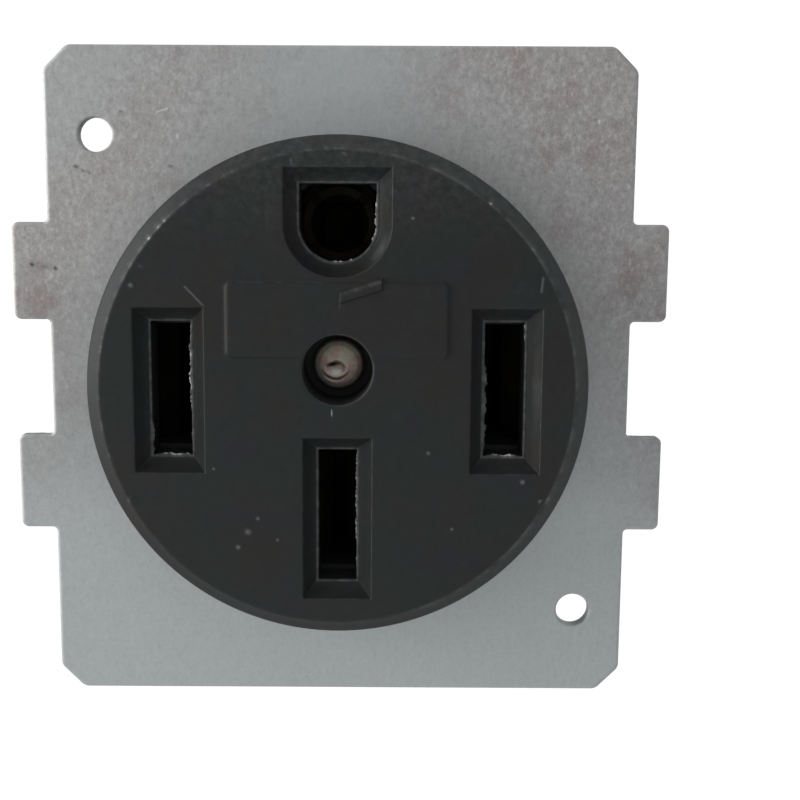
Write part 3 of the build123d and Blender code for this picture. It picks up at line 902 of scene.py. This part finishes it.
rim_profile = np.array([
    (-2.05, 0.0, 0.0), (-1.85, 0.0, 0.1), (-1.70, 0.012, 0.45), (-1.58, 0.05, 0.68),
    (-1.49, 0.12, 0.60), (-1.40, 0.21, 0.45), (-0.95, 0.60, 0.40), (-0.50, 0.97, 0.40),
    (-0.28, 1.13, 0.36), (-0.14, 1.27, 0.36), (-0.05, 1.45, 0.28), (0.0, 1.68, 0.15),
    (0.0, 3.0, 0.0), (0.0, 6.0, 0.0), (0.0, 9.0, 0.0), (0.0, 9.65, 0.0), (-0.06, 9.82, 0.0),
    (-0.22, 9.9, 0.0),
])
well_profile = np.array([
    (0.46, 0.0, 0.0), (0.30, 0.0, 0.0), (0.20, 0.012, 0.06), (0.11, 0.05, 0.20),
    (0.045, 0.12, 0.28), (0.01, 0.22, 0.16), (0.0, 0.36, 0.04),
])
opening_margin = opening_profile[0, 0]
rim_margin = rim_profile[0, 0]
well_margin = well_profile[0, 0]
skirt_bore = 24.2
cover_inside = face_height - face_wall
spigot_radius = 6.5
spigot_end = well_floor - 1.5
shank_hole = 2.3
print("profile rows:", len(opening_profile), len(rim_profile), len(well_profile))


def ring_about(centre, radius, count):
    """Evenly divided circle, anticlockwise."""
    radius = np.broadcast_to(radius, count)[:, None]
    angle = np.linspace(0.0, 2 * np.pi, count, endpoint=False)
    return np.asarray(centre) + radius * turned(angle)


# %% Turned and carried patches of the face
rim_columns = 900
well_columns = 200
bore_columns = 240
spigot_columns = 120
rim_relief_rows = 3
lip_relief_rows = 4
rim_lip = -1.53
rim_lip_width = 0.14
knock_reach = 0.10
flash_sag = 0.25
knocks = [
    (140.8, 0.55, 0.9), (137.4, 0.8, 0.7), (135.3, 0.5, 0.9), (51.3, 0.6, 0.8), (144.0, 1.2, 0.35),
    (129.0, 1.4, 0.3), (152.0, 1.6, 0.3), (38.0, 2.2, 0.3), (97.0, 0.5, 0.4), (208.0, 0.7, 0.3),
    (333.0, 0.9, 0.3), (66.0, 0.8, 0.3),
]


def rim_knocks(angle):
    """How deep the rim's edge is knocked at each angle in degrees, from 0 to 1."""
    depth = np.zeros_like(angle)
    for middle, width, most in knocks:
        away = (angle - middle + 180.0) % 360.0 - 180.0
        depth = np.maximum(depth, most * bell(away, width))
    rubbed = step(ripple(angle * 0.47, 3.0), 0.35, 0.95) * ripple(angle * 0.13, 1.0) * 0.4
    upper_left = step(np.cos(np.radians(angle - 140.0)), 0.2, 0.9)
    return np.maximum(depth, rubbed * (0.25 + 0.75 * upper_left))


def rim_rows():
    """The rim's profile turned about the face's centre, its inner edge dented at each knock.

    Its wear is scaled by painted light from the sides, strongest on the right and at the upper
    left, so that the bevel is paler there.
    """
    angle = np.linspace(0.0, 360.0, rim_columns, endpoint=False)
    knocked = rim_knocks(angle)
    # Painted light: this side factor scales the rim's wear, so its bevel is paler on the right and
    # at the upper left, as light from those sides would make it.
    rim_side_light = 0.10 + 0.52 * step(np.cos(np.radians(angle - 10.0)), -0.5, 0.8)
    rim_side_light = rim_side_light + 0.26 * bell(angle - 143.0, 20.0)
    broken = 0.25 + 1.1 * ripple(angle * 0.12, 9.0)
    points, wear_and_painted_light = [], []
    for row, (out, drop, rubbed) in enumerate(rim_profile):
        edge = bell(out - rim_lip, rim_lip_width)
        radius = face_radius + out - 0.3 * knock_reach * edge * knocked
        flat = ring_about((0.0, 0.0), radius, rim_columns)
        relieved = relief(flat) if row < rim_relief_rows else 0.0
        points.append(to_space(flat, face_height - drop - knock_reach * edge * knocked + relieved))
        wear_and_painted_light.append(rubbed * rim_side_light * (1.0 - edge + edge * broken) + edge * knocked * 0.9)
    return np.array(points), np.clip(wear_and_painted_light, 0.0, 1.0)


def opening_rows(opening):
    """One opening's profile carried round its outline, with flash where the mould leaked.

    The flash moves a row towards the hole and lets it sag. Its fringe is pale and carries a
    painted highlight, weaker on the left side, which faces away from the light, and the bevel adds
    its own painted highlight.
    """
    flash = opening.flash()
    ragged = ripple(np.arange(len(flash)) * point_pitch, 7.0)
    polish = opening.polish()
    # Painted highlight: the flash's pale fringe is made paler as if it caught the light, and less
    # so on the left side, which faces away from the light.
    fringe_side_light = 0.35 + 0.65 * step((opening.ring(0.0) - opening.centre)[:, 0], -1.6, -0.8)
    points, wear_and_painted_light = [], []
    for row, (grow, drop, rubbed, share) in enumerate(opening_profile):
        flat = opening.ring(grow)
        inward = opening.ring(grow - 0.5) - flat
        flat = flat + inward * (flash * share / how_long(inward))[:, None]
        surface = relief(flat) if row < lip_relief_rows else 0.0
        sag = flash_sag * share * flash * ragged
        points.append(to_space(flat, face_height - drop + surface - sag))
        fringe = np.clip(flash / 0.12, 0.0, 1.0) * share * fringe_side_light
        fringe = fringe * (0.35 + 0.65 * ragged)
        # Painted highlight: the bevel term adds the opening's bevel highlight to the wear value.
        bevel = step(grow, 0.5, 1.1) * step(-grow, -1.62, -1.45)
        wear_and_painted_light.append(rubbed * (0.55 + 0.6 * ragged) + fringe + bevel * polish)
    return np.array(points), np.clip(wear_and_painted_light, 0.0, 1.0)


def well_rows():
    """The well's soft lip, which follows the relief, then its straight wall."""
    points, wear_and_painted_light = [], []
    for grow, drop, rubbed in well_profile:
        flat = ring_about(rivet_place, well_radius + grow, well_columns)
        points.append(to_space(flat, face_height + relief(flat) - drop))
        wear_and_painted_light.append(np.full(well_columns, rubbed))
    flat = ring_about(rivet_place, well_radius, well_columns)
    for height in (face_height - 1.2, well_floor + 0.25, well_floor):
        points.append(to_space(flat, height))
        wear_and_painted_light.append(np.zeros(well_columns))
    return np.array(points), np.array(wear_and_painted_light)


print("deepest knock in the rim:", round(float(rim_knocks(np.arange(360.0)).max()), 2))


# %% Stretches of the face that a fill may use
face_pitch = 0.6
outline_pitch = 0.3


def clear_of_holes(places, gap):
    """Whether a place is farther than a gap from the patches round the well and the openings."""
    clear = how_long(places - rivet_place) > well_radius + well_margin + gap
    for opening in openings:
        clear &= opening.outside(places, opening_margin) > gap
    return clear


def face_seeds():
    """Seed points of the face's fill: an even pattern, closer where the relief is fine."""
    reach = np.full(2, face_radius)
    seeds = [even_seeds(-reach, reach, face_pitch)]
    seeds += [seeds_near((x, z), (x, z), 2.4 * size, 0.35 * size) for x, z, size in specks]
    seeds += [seeds_near(start, end, 3.2 * width, 0.8 * width) for start, end, width, _ in scuffs_and_highlights]
    start, end, width, _ = witness_line
    seeds.append(seeds_near(start, end, 3.0 * width, 0.5 * width))
    seeds = np.concatenate(seeds)
    clear = clear_of_holes(seeds, 0.1) & (how_long(seeds) < face_radius + rim_margin - 0.1)
    return seeds[clear]


def clear_stretches(path):
    """The stretches of a closed outline that stay clear of the well and the openings."""
    clear = clear_of_holes(path, 0.05)
    start = int(np.argmin(clear)) if not clear.all() else 0
    path, clear = np.roll(path, -start, axis=0), np.roll(clear, -start)
    breaks = np.flatnonzero(np.diff(clear.astype(int))) + 1
    parts = zip(np.split(path, breaks), np.split(clear, breaks))
    return [part for part, use in parts if use[0] and len(part) > 1]


def inset_outline(corners, inset):
    """A convex outline's corners moved in, so that each side moves in by the inset."""
    after = inward_sides(corners)
    before = np.roll(after, 1, axis=0)
    return corners + inset * (before + after) / (1.0 + (before * after).sum(axis=1))[:, None]


print("seed points of the face:", len(face_seeds()))


# %% Close the face's shell
def moulded_face():
    """Rim, lips, well and the fill between them; behind, skirt, bore, ceiling and spigot."""
    shell = Shell("moulded_face")
    rim, rim_wear_and_light = rim_rows()
    shell.grid(rim, rim_wear_and_light)
    guards = [rim[0][:, [0, 2]] / MM]
    for opening in openings:
        shell.grid(*opening_rows(opening))
        guards.append(opening.ring(opening_margin))
    shell.grid(*well_rows())
    guards.append(ring_about(rivet_place, well_radius + well_margin, well_columns))
    panel_corners = panel_centre + np.array([(1, -1), (1, 1), (-1, 1), (-1, -1)]) * panel_half
    forms = [(panel_corners, panel_slope, panel_corner),
             (patch_corners, patch_slope, patch_corner)]
    paths = []
    for corners, slope, radius in forms:
        for inset in np.linspace(0.0, slope, 5):
            radii = [radius - inset] * len(corners)
            path, _ = rounded_outline(inset_outline(corners, inset), radii, outline_pitch)
            paths += clear_stretches(path)
    places, triangles = fill(guards[0], guards[1:], face_seeds(), paths)
    shell.add(to_space(places, face_height + relief(places)), triangles, face_wear_and_highlights(places))
    bore = ring_about((0.0, 0.0), skirt_bore, bore_columns)
    foot = rim[-1]
    bottom, faces = fill(foot[:, [0, 2]] / MM, [bore])
    shell.add(to_space(bottom, strap_front), faces)
    shell.grid(np.array([to_space(bore, h) for h in (strap_front, cover_inside)]))
    spigot = ring_about(rivet_place, spigot_radius, spigot_columns)
    places, triangles = fill(bore, [spigot] + [opening.ring(0.0) for opening in openings])
    shell.add(to_space(places, cover_inside), triangles)
    shell.grid(np.array([to_space(spigot, h) for h in (cover_inside, spigot_end)]))
    hole = ring_about(rivet_place, shank_hole, spigot_columns)
    tube = ((spigot, spigot_end), (hole, spigot_end), (hole, well_floor))
    shell.grid(np.array([to_space(ring, height) for ring, height in tube]))
    floor, faces = fill(ring_about(rivet_place, well_radius, well_columns), [hole])
    shell.add(to_space(floor, well_floor), faces)
    return shell.build(moulding)


face = moulded_face()
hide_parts("face_cover")
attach(face, "root")


# %% [markdown]
# ## Pressed strap
#
# A press shears the strap from sheet. The punch side rolls over before it parts, so the front edge
# is soft, a smooth band follows, and the last third of the edge is torn and a little ragged.
# Carrying that edge profile round the outline and round both screw holes gives the thin bright
# line that a real pressing shows. The cut corners, the ears and their roots are rounded a little,
# as a press tool's are.

# %% Sizes and sheared edge of the strap
# A row of the edge is its inset, drop and wear.
strap_half_width = 33.3
strap_corner_cut = 2.7
ear_inner = 6.7
ear_outer = 17.8
strap_half_height = strap_high[2]
ear_half_span = strap_high[0]
screw_hole_radius = 1.9
screw_place = 39.0 / np.sqrt(2.0)
screw_places = [np.array([-screw_place, screw_place]), np.array([screw_place, -screw_place])]
screw_hole_columns = 72
hole_pitch = 0.17
hole_edge_share = 0.6
key_width = 5.0
key_reach = 1.4
key_flank = 0.01
bore_steps = 360
strap_pitch = 1.1
edge_gap, bore_gap, hole_gap = 1.0, 2.2, 0.8
ear_root_radius, ear_tip_radius, cut_radius = 0.5, 0.8, 1.3
torn_depth = 0.05
strap_edge = np.array([
    (0.52, 0.0, 0.0), (0.42, 0.0, 0.0), (0.30, 0.015, 0.06), (0.17, 0.055, 0.20),
    (0.075, 0.12, 0.35), (0.02, 0.21, 0.30), (0.0, 0.33, 0.15), (0.0, 0.95, 0.05),
    (0.02, 1.05, 0.0), (0.035, 1.3, 0.0), (0.06, 1.44, 0.1), (0.12, 1.5, 0.1), (0.4, 1.5, 0.0),
])
print("rows of the strap's sheared edge:", len(strap_edge))


# %% Marks on the strap
# Each mark is (start, end, width, wear): rubbed bright above zero, soiled below it.
strap_marks = [
    ((-29.9, 24.05), (-29.7, 23.95), 0.26, -0.55), ((-29.1, 23.6), (-28.9, 23.5), 0.20, -0.42),
    ((-28.4, 23.35), (-28.2, 23.25), 0.16, -0.35), ((-35.2, 13.0), (-35.1, 12.95), 0.24, -0.62),
    ((-32.55, 12.6), (-32.45, 12.5), 0.24, -0.58), ((-33.8, 12.8), (-33.5, 12.7), 0.26, -0.35),
    ((-33.2, 11.4), (-33.0, 11.8), 0.26, 0.45), ((-18.32, 27.6), (-18.3, 27.3), 0.16, 0.8),
    ((-24.7, 30.1), (-24.5, 30.1), 0.18, -0.4), ((-19.3, 24.1), (-19.0, 24.1), 0.20, -0.4),
    ((28.99, 29.3), (28.99, 29.1), 0.15, 1.0), ((-20.5, 30.1), (-19.4, 30.45), 0.13, 0.7),
    ((-8.2, 30.7), (-6.3, 28.4), 0.22, 0.22),
]


def strap_wear(places):
    """Wear of the strap's front: the strongest mark at each place keeps its sign."""
    wear_and_painted_light = np.zeros(places.shape[:-1])
    for start, end, width, most in strap_marks:
        mark = most * bell(line_distance(places, start, end), width)
        wear_and_painted_light = np.where(np.abs(mark) > np.abs(wear_and_painted_light), mark, wear_and_painted_light)
    return wear_and_painted_light


print("marks on the strap:", len(strap_marks))


# %% Outline, aperture and buckle of the strap
def strap_outline():
    """One quarter's corners and radii, mirrored: the ear's root, tips and root, the cut corner."""
    width, height, reach = strap_half_width, strap_half_height, ear_half_span
    quarter = [((width, ear_inner), ear_root_radius), ((reach, ear_inner), ear_tip_radius),
               ((reach, ear_outer), ear_tip_radius), ((width, ear_outer), ear_root_radius),
               ((width, height - strap_corner_cut), cut_radius),
               ((width - strap_corner_cut, height), cut_radius)]
    upper = quarter + [((-x, z), r) for (x, z), r in reversed(quarter)]
    whole = upper + [((-x, -z), r) for (x, z), r in upper]
    return rounded_outline([c for c, _ in whole], [r for _, r in whole], outline_pitch)


def keyed_bore():
    """The strap's aperture: a circle with four flat-bottomed notches, as a radius per angle."""
    half_angle = np.degrees(np.arcsin(key_width / 2 / skirt_bore))
    flanks = [sign * (half_angle + off) for sign in (-1, 1) for off in (-key_flank, key_flank)]
    edges = np.add.outer([45.0, 135.0, 225.0, 315.0], flanks).ravel()
    angle = np.linspace(0.0, 360.0, bore_steps, endpoint=False)
    angle = np.sort(np.concatenate([angle, edges]))
    off = np.abs(angle % 90.0 - 45.0)
    notch = (skirt_bore + key_reach) / np.cos(np.radians(off))
    radius = np.where(off < half_angle, notch, skirt_bore)
    return radius[:, None] * turned(np.radians(angle))


def strap_unevenness(places):
    """Slight buckle of the sheet, at most a few hundredths of a millimetre, always inwards."""
    x, z = places[..., 0], places[..., 1]
    wave = np.sin(x * 0.11 + 1.0) * np.sin(z * 0.09 + 0.4) + 0.5 * np.sin(x * 0.23 - z * 0.17)
    return 0.02 * (wave - 1.5)


print("points of the outline and the aperture:", len(strap_outline()[0]), len(keyed_bore()))


# %% Close the strap's shell
def pressed_strap():
    """The sheared edge round the outline and both holes, the keyed bore and two flat fills."""
    shell = Shell("pressed_strap")
    outline, outward = strap_outline()
    torn = ripple(np.arange(len(outline)) * outline_pitch, 2.0)
    edges = [(outline, outward, 1.0, torn)]
    for number, place in enumerate(screw_places):
        ring = ring_about(place, screw_hole_radius, screw_hole_columns)
        torn = ripple(np.arange(screw_hole_columns) * hole_pitch, 6.0 + number)
        edges.append((ring, (place - ring) / screw_hole_radius, hole_edge_share, torn))
    guards_front, guards_rear = [], []
    for ring, direction, inset, rough in edges:
        rows, wear_and_painted_light = [], []
        for back, drop, rubbed in strap_edge:
            chip = torn_depth * rough * step(drop, 0.9, 1.3) * (1.0 - step(drop, 1.44, 1.5))
            flat = ring - direction * (back * inset + chip)[:, None]
            sag = strap_unevenness(flat) * (1.0 - step(drop, 0.0, 1.0))
            rows.append(to_space(flat, strap_front - drop + sag))
            wear_and_painted_light.append(np.clip(rubbed * (0.5 + 0.9 * rough), 0.0, 1.0))
        shell.grid(np.array(rows), np.array(wear_and_painted_light))
        guards_front.append(rows[0][:, [0, 2]] / MM)
        guards_rear.append(rows[-1][:, [0, 2]] / MM)
    bore = keyed_bore()
    reach = np.array([ear_half_span, strap_half_height])
    seeds = even_seeds(-reach, reach, strap_pitch)
    depth = rectangle_depth(seeds, np.zeros(2), np.array([strap_half_width, strap_half_height]))
    seeds = seeds[(depth > edge_gap) & (how_long(seeds) > skirt_bore + bore_gap)]
    for place in screw_places:
        seeds = seeds[how_long(seeds - place) > screw_hole_radius + hole_gap]
    marked = [seeds_near(start, end, 2.6 * width, 0.4 * width)
              for start, end, width, _ in strap_marks]
    seeds = np.concatenate([seeds, *marked])
    for guards, height in ((guards_front, strap_front), (guards_rear, 0.0)):
        places, triangles = fill(guards[0], guards[1:] + [bore], seeds)
        sag = strap_unevenness(places) if height else 0.0
        shell.add(to_space(places, height + sag), triangles, strap_wear(places) if height else 0.0)
    bore_front = to_space(bore, strap_front + strap_unevenness(bore))
    shell.grid(np.array([bore_front, to_space(bore, 0.0)]))
    return shell.build(zinc)


strap = pressed_strap()
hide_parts("mounting_strap")
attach(strap, "root")


# %% [markdown]
# ## Set rivet
#
# The setting tool left a small hollow in the rivet's head: it lies under a bent brow, and a lip
# and a shallow groove run round its lower side. A painted highlight lies under the hollow and on
# the head's lower edge, and painted shade lies under the brow and in the groove. The tail is
# rolled over the washer behind.
# Both ends are turned profiles whose height or radius also depends on the angle, so that the
# hollow sits off centre and the roll is uneven, which a plain lathe shape couldn't show.

# %% Dimple and head of the rivet
rivet_head_radius = 2.85
rivet_head_height = 1.6
dome_radius = 2.5
dome_rows = 40
rivet_shank_radius = 2.2
rivet_columns = 96
rivet_bore_radius = 1.3
rivet_bore_depth = 4.0
roll_radius = 3.3
dimple_offset = np.array([[0.35], [0.15]])


def dimple(x, z):
    """Height and painted light of the dimple at a place about its middle.

    The height is less by a hollow that lies under a bent brow and fades out below and to both
    sides, more by a lip on a circle's lower side, and less by a groove outside the lip. The
    wear value is a painted highlight in a crescent under the hollow, less painted shade under the
    brow and in the groove.
    """
    brow = 0.75 - np.where(x < 0.0, 0.62, 0.42) * np.sqrt(x ** 2 + 0.04)
    across = 1.0 - step(np.abs(x), 0.5, 1.35)
    hollow = step(brow - z, -0.15, 0.65) * (1.0 - step(-z, -0.2, 1.1)) * across
    # Painted shade under the brow and in the groove, and a painted highlight in the crescent below
    # the hollow, all carried in the wear value.
    shade = bell(x + 0.30, 0.78) * bell(z - 0.16 - 0.12 * x, 0.34)
    painted_crescent_highlight = bell(x - 0.05, 1.0) * bell(z + 0.72, 0.46)
    lip = bell(np.hypot(x, z) - 1.25, 0.26) * step(-z, 0.1, 0.7)
    groove = bell(np.hypot(x, z) - 1.58, 0.14) * step(-z, 0.7, 1.4)
    return 0.07 * lip - 0.34 * hollow - 0.07 * groove, painted_crescent_highlight - 0.85 * shade - 0.35 * groove


def rivet_head(angle):
    """Rows of the head as radius, height and wear with painted light: a low dome with the dimple,
    then its side.
    """
    head_top = well_floor + rivet_head_height
    rows = []
    for r in np.linspace(0.0, dome_radius, dome_rows):
        x, z = dimple_offset + r * turned(angle).T
        height, wear_and_painted_light = dimple(x, z)
        dome = 0.1 + 0.05 * r ** 2 + 0.05 * step(r, 2.0, 2.5)
        # Painted highlight: rim brightens the head's lower edge through the wear value.
        rim = step(-z, 0.5, 1.5) * step(r, 1.7, 2.0) * (1.0 - step(r, 2.2, 2.45))
        rows.append((r, head_top - dome + height, wear_and_painted_light + 0.5 * rim))
    side = ((2.62, 0.55), (2.74, 0.72), (2.82, 0.98), (rivet_head_radius, 1.35), (2.83, 1.55))
    return rows + [(r, head_top - drop, 0.05) for r, drop in side]


print("the dimple's middle sinks by", round(-float(dimple(0.0, 0.0)[0]), 2), "mm")


# %% Head, shank and rolled tail in one surface
def set_rivet():
    """The head's rows, then the tail's, whose roll is uneven by a ripple and a slow wave."""
    angle = np.linspace(0.0, 2 * np.pi, rivet_columns, endpoint=False)
    uneven = 0.12 * ripple(angle * 1.6, 4.0) + 0.05 * np.cos(3 * angle)
    bore_end = rivet_rear + rivet_bore_depth
    tail = [
        (2.75, well_floor, 0), (rivet_shank_radius, well_floor, 0),
        (rivet_shank_radius, washer_rear, 0), (roll_radius - 0.25, washer_rear, 0),
        (roll_radius - 0.02, washer_rear - 0.18, -1), (roll_radius, washer_rear - 0.45, -1),
        (roll_radius - 0.16, washer_rear - 0.85, -1), (roll_radius - 0.50, washer_rear - 1.15, -1),
        (roll_radius - 1.0, rivet_rear, 0), (roll_radius - 1.45, rivet_rear + 0.06, 0),
        (rivet_bore_radius + 0.2, rivet_rear + 0.35, 0), (rivet_bore_radius, rivet_rear + 0.9, 0),
        (rivet_bore_radius, bore_end - 0.3, 0), (rivet_bore_radius - 0.4, bore_end, 0),
        (0.0, bore_end, 0)]
    rows = rivet_head(angle)
    rows += [(np.maximum(r + sign * uneven, 0.0), h, -0.25 * sign) for r, h, sign in tail]
    radius, height, wear_and_painted_light = (np.array([row[k] + 0.0 * angle for row in rows]) for k in range(3))
    points = to_space(rivet_place + radius[..., None] * turned(angle), height)
    shell = Shell("set_rivet")
    shell.grid(points, np.clip(wear_and_painted_light, -1.0, 1.0))
    return shell.build(rivet_steel, crease=50.0)


rivet = set_rivet()
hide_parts("assembly_rivet")
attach(rivet, "root")


# %% [markdown]
# ## Clamp screws
#
# Each terminal has a headless screw with a slot across its end. Its thread is a helix, so its
# radius depends on both the angle and the place along the screw: a triangle wave of their
# difference. The slot is left out of the helix and cut afterwards, because a flat cut through a
# screw surface has no simple formula.

# %% Slot cutter
slot_width = 1.1
slot_depth = 1.5
screw_crease = 30.0


def cut_slot(screw, place, size):
    """Takes a block with its middle at a place, both in millimetres, out of a screw."""
    work = bmesh.new()
    matrix = Matrix.LocRotScale(Vector(place * MM), None, Vector(size * MM))
    bmesh.ops.create_cube(work, size=1.0, matrix=matrix)
    mesh = bpy.data.meshes.new("slot_cutter")
    work.to_mesh(mesh)
    work.free()
    cutter = bpy.data.objects.new("slot_cutter", mesh)
    scene.collection.objects.link(cutter)
    cut = screw.modifiers.new("slot", "BOOLEAN")
    cut.operation, cut.object, cut.solver = "DIFFERENCE", cutter, "EXACT"
    bpy.context.view_layer.update()
    evaluated = screw.evaluated_get(bpy.context.evaluated_depsgraph_get())
    screw.data = bpy.data.meshes.new_from_object(evaluated)
    screw.modifiers.clear()
    bpy.data.objects.remove(cutter)
    screw.data.set_sharp_from_angle(angle=np.radians(screw_crease))


print("slot", slot_width, "mm wide and", slot_depth, "mm deep")


# %% Threaded screws
thread_pitch = 1.0
thread_depth = 0.32
thread_steps = 10
screw_columns = 64
end_taper = 0.55


def threaded_screw(node, material):
    """One screw along its own axis.

    The radius is a triangle wave of length / pitch - angle / full turn. The ends taper to the
    thread's root and close on the axis.
    """
    low, high = span(node)
    middle = (low + high) / 2
    axis = 0 if abs(middle[0]) > abs(middle[2]) else 2
    sign = np.sign(middle[axis])
    start, end = (low[axis], high[axis]) if sign > 0 else (-high[axis], -low[axis])
    size = (high[1] - low[1]) / 2
    angle = np.linspace(0.0, 2 * np.pi, screw_columns, endpoint=False)
    along = np.arange(start, end + 0.001, thread_pitch / thread_steps)
    phase = (along[:, None] / thread_pitch - angle / (2 * np.pi)) % 1.0
    depth = thread_depth * (1.0 - np.clip(2.4 * np.minimum(phase, 1.0 - phase), 0.0, 1.0))
    taper = np.minimum(along - start, end - along)[:, None] + size - end_taper
    radius = np.minimum(size - depth, taper)
    ends = [np.zeros(screw_columns), np.full(screw_columns, size * 0.5)]
    radius = np.concatenate([ends, radius, ends[::-1]])
    along = np.concatenate([[start, start], along, [end, end]])
    sideways = 2 - axis
    points = np.zeros((*radius.shape, 3))
    points[..., axis] = sign * along[:, None]
    points[..., sideways] = radius * np.cos(angle)
    points[..., 1] = radius * np.sin(angle) + middle[1]
    shell = Shell(node.replace("clamp_screw", "threaded_screw"))
    rubbed = np.clip((radius - size + 0.08) / 0.08, 0.0, 1.0) * 0.5
    shell.grid(points * MM, rubbed)
    screw = shell.build(material, crease=screw_crease)
    block = np.full(3, 2.2 * size)
    block[sideways] = slot_width
    block[axis] = 2 * slot_depth
    place = np.array([0.0, middle[1], 0.0])
    place[axis] = sign * end
    cut_slot(screw, place, block)
    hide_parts(node)
    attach(screw, "root")
    return screw


for terminal in ("line_x", "line_y", "neutral", "ground"):
    dyed = terminal == "ground"
    screw = threaded_screw(f"{terminal}_clamp_screw", green_steel if dyed else screw_steel)


# %% [markdown]
# ## Pieces that keep their own mesh
#
# The rear housing, the contacts, the lugs, the pressure plates, the bonding strip and the washer
# have the right shape already. Each gets the finish of its real material, except the contacts and
# the bonding strip, whose brass is painted almost black as painted shade.

# %% Finishes for the carried-over pieces
carried = {"black_moulding": moulding, "zinc_plate": zinc, "brass": brass}
material_of = {part["node"]: part["material_slot"] for part in frame["record"]["subparts"]}
for name, node in frame["nodes"].items():
    if material_of[name] in carried:
        node.data.materials.clear()
        # Painted shade: the contacts and the bonding strip get the almost black brass.
        in_painted_shade = name.endswith(("contact", "bonding_strip"))
        node.data.materials.append(painted_shade_brass if in_painted_shade else carried[material_of[name]])
print("carried over:", sum(material_of[n] in carried for n in frame["nodes"]))


# %% [markdown]
# ## Floor, surroundings and light
#
# The photograph is cut out on pure white, so white surroundings are seen behind the part, and the
# pale floor is small and far below. The light in it is soft and comes from the left, almost along
# the face: bevels that face left are bright, those that face right or down are nearly black, and
# the strap is darker on the far side of the moulding. A large lamp stands there. The white room
# gives the rest, with a little more from below the camera, which the dull plate's lower edge
# returns, and from above. The shares of the three lamps and the room were worked out by least
# squares from one picture of each alone, as light adds up.

# %% Floor
floor_depth = 300.0
floor_reach = 250.0
floor_mesh = bpy.data.meshes.new("floor")
floor_corners = np.array([(-1, -1), (1, -1), (1, 1), (-1, 1)]) * floor_reach * MM
floor_points = [(x, y, -floor_depth * MM) for x, y in floor_corners]
floor_mesh.from_pydata(floor_points, [], [(0, 1, 2, 3)])
floor = bpy.data.objects.new("floor", floor_mesh)
scene.collection.objects.link(floor)
pale = Finish("pale_floor", {"Base Color": (0.8, 0.8, 0.8, 1.0), "Roughness": 0.9})
floor.data.materials.append(pale.material)

# %% Surroundings and lamps
seen_white = {"Color": (1.0, 1.0, 1.0, 1.0), "Strength": 1.05}
room_light = {"Color": (0.95, 0.98, 1.0, 1.0), "Strength": 0.55}

world = bpy.data.worlds.new("studio")
world.use_nodes = True
world.node_tree.nodes.clear()
scene.world = world
room = Nodes(world.node_tree)
seen = room.node("ShaderNodeBackground", {}, seen_white)
lit = room.node("ShaderNodeBackground", {}, room_light)
straight = room.node("ShaderNodeLightPath", {}, {}, "Is Camera Ray")
both = room.node("ShaderNodeMixShader", {}, {0: straight, 1: lit, 2: seen})
room.node("ShaderNodeOutputWorld", {}, {"Surface": both})


def lamp(name, place, size, power, colour):
    """Soft rectangular lamp at a place in millimetres, turned towards the part."""
    data = bpy.data.lights.new(name, "AREA")
    data.shape = "RECTANGLE"
    data.size, data.size_y = size[0] * MM, size[1] * MM
    data.energy = power
    data.color = colour
    made = bpy.data.objects.new(name, data)
    made.location = np.array(place) * MM
    made.rotation_euler = (-Vector(place)).to_track_quat("-Z", "Y").to_euler()
    scene.collection.objects.link(made)


lamp("window_left", place=(-520.0, -130.0, 90.0), size=(380.0, 420.0), power=3.05,
     colour=(1.0, 0.99, 0.965))
lamp("fill_low", place=(-60.0, -500.0, -330.0), size=(400.0, 220.0), power=0.28,
     colour=(0.96, 0.99, 1.0))
lamp("fill_top", place=(0.0, -260.0, 480.0), size=(400.0, 300.0), power=0.14,
     colour=(1.0, 1.0, 1.0))
scene.view_settings.view_transform = "Standard"
scene.view_settings.look = "None"
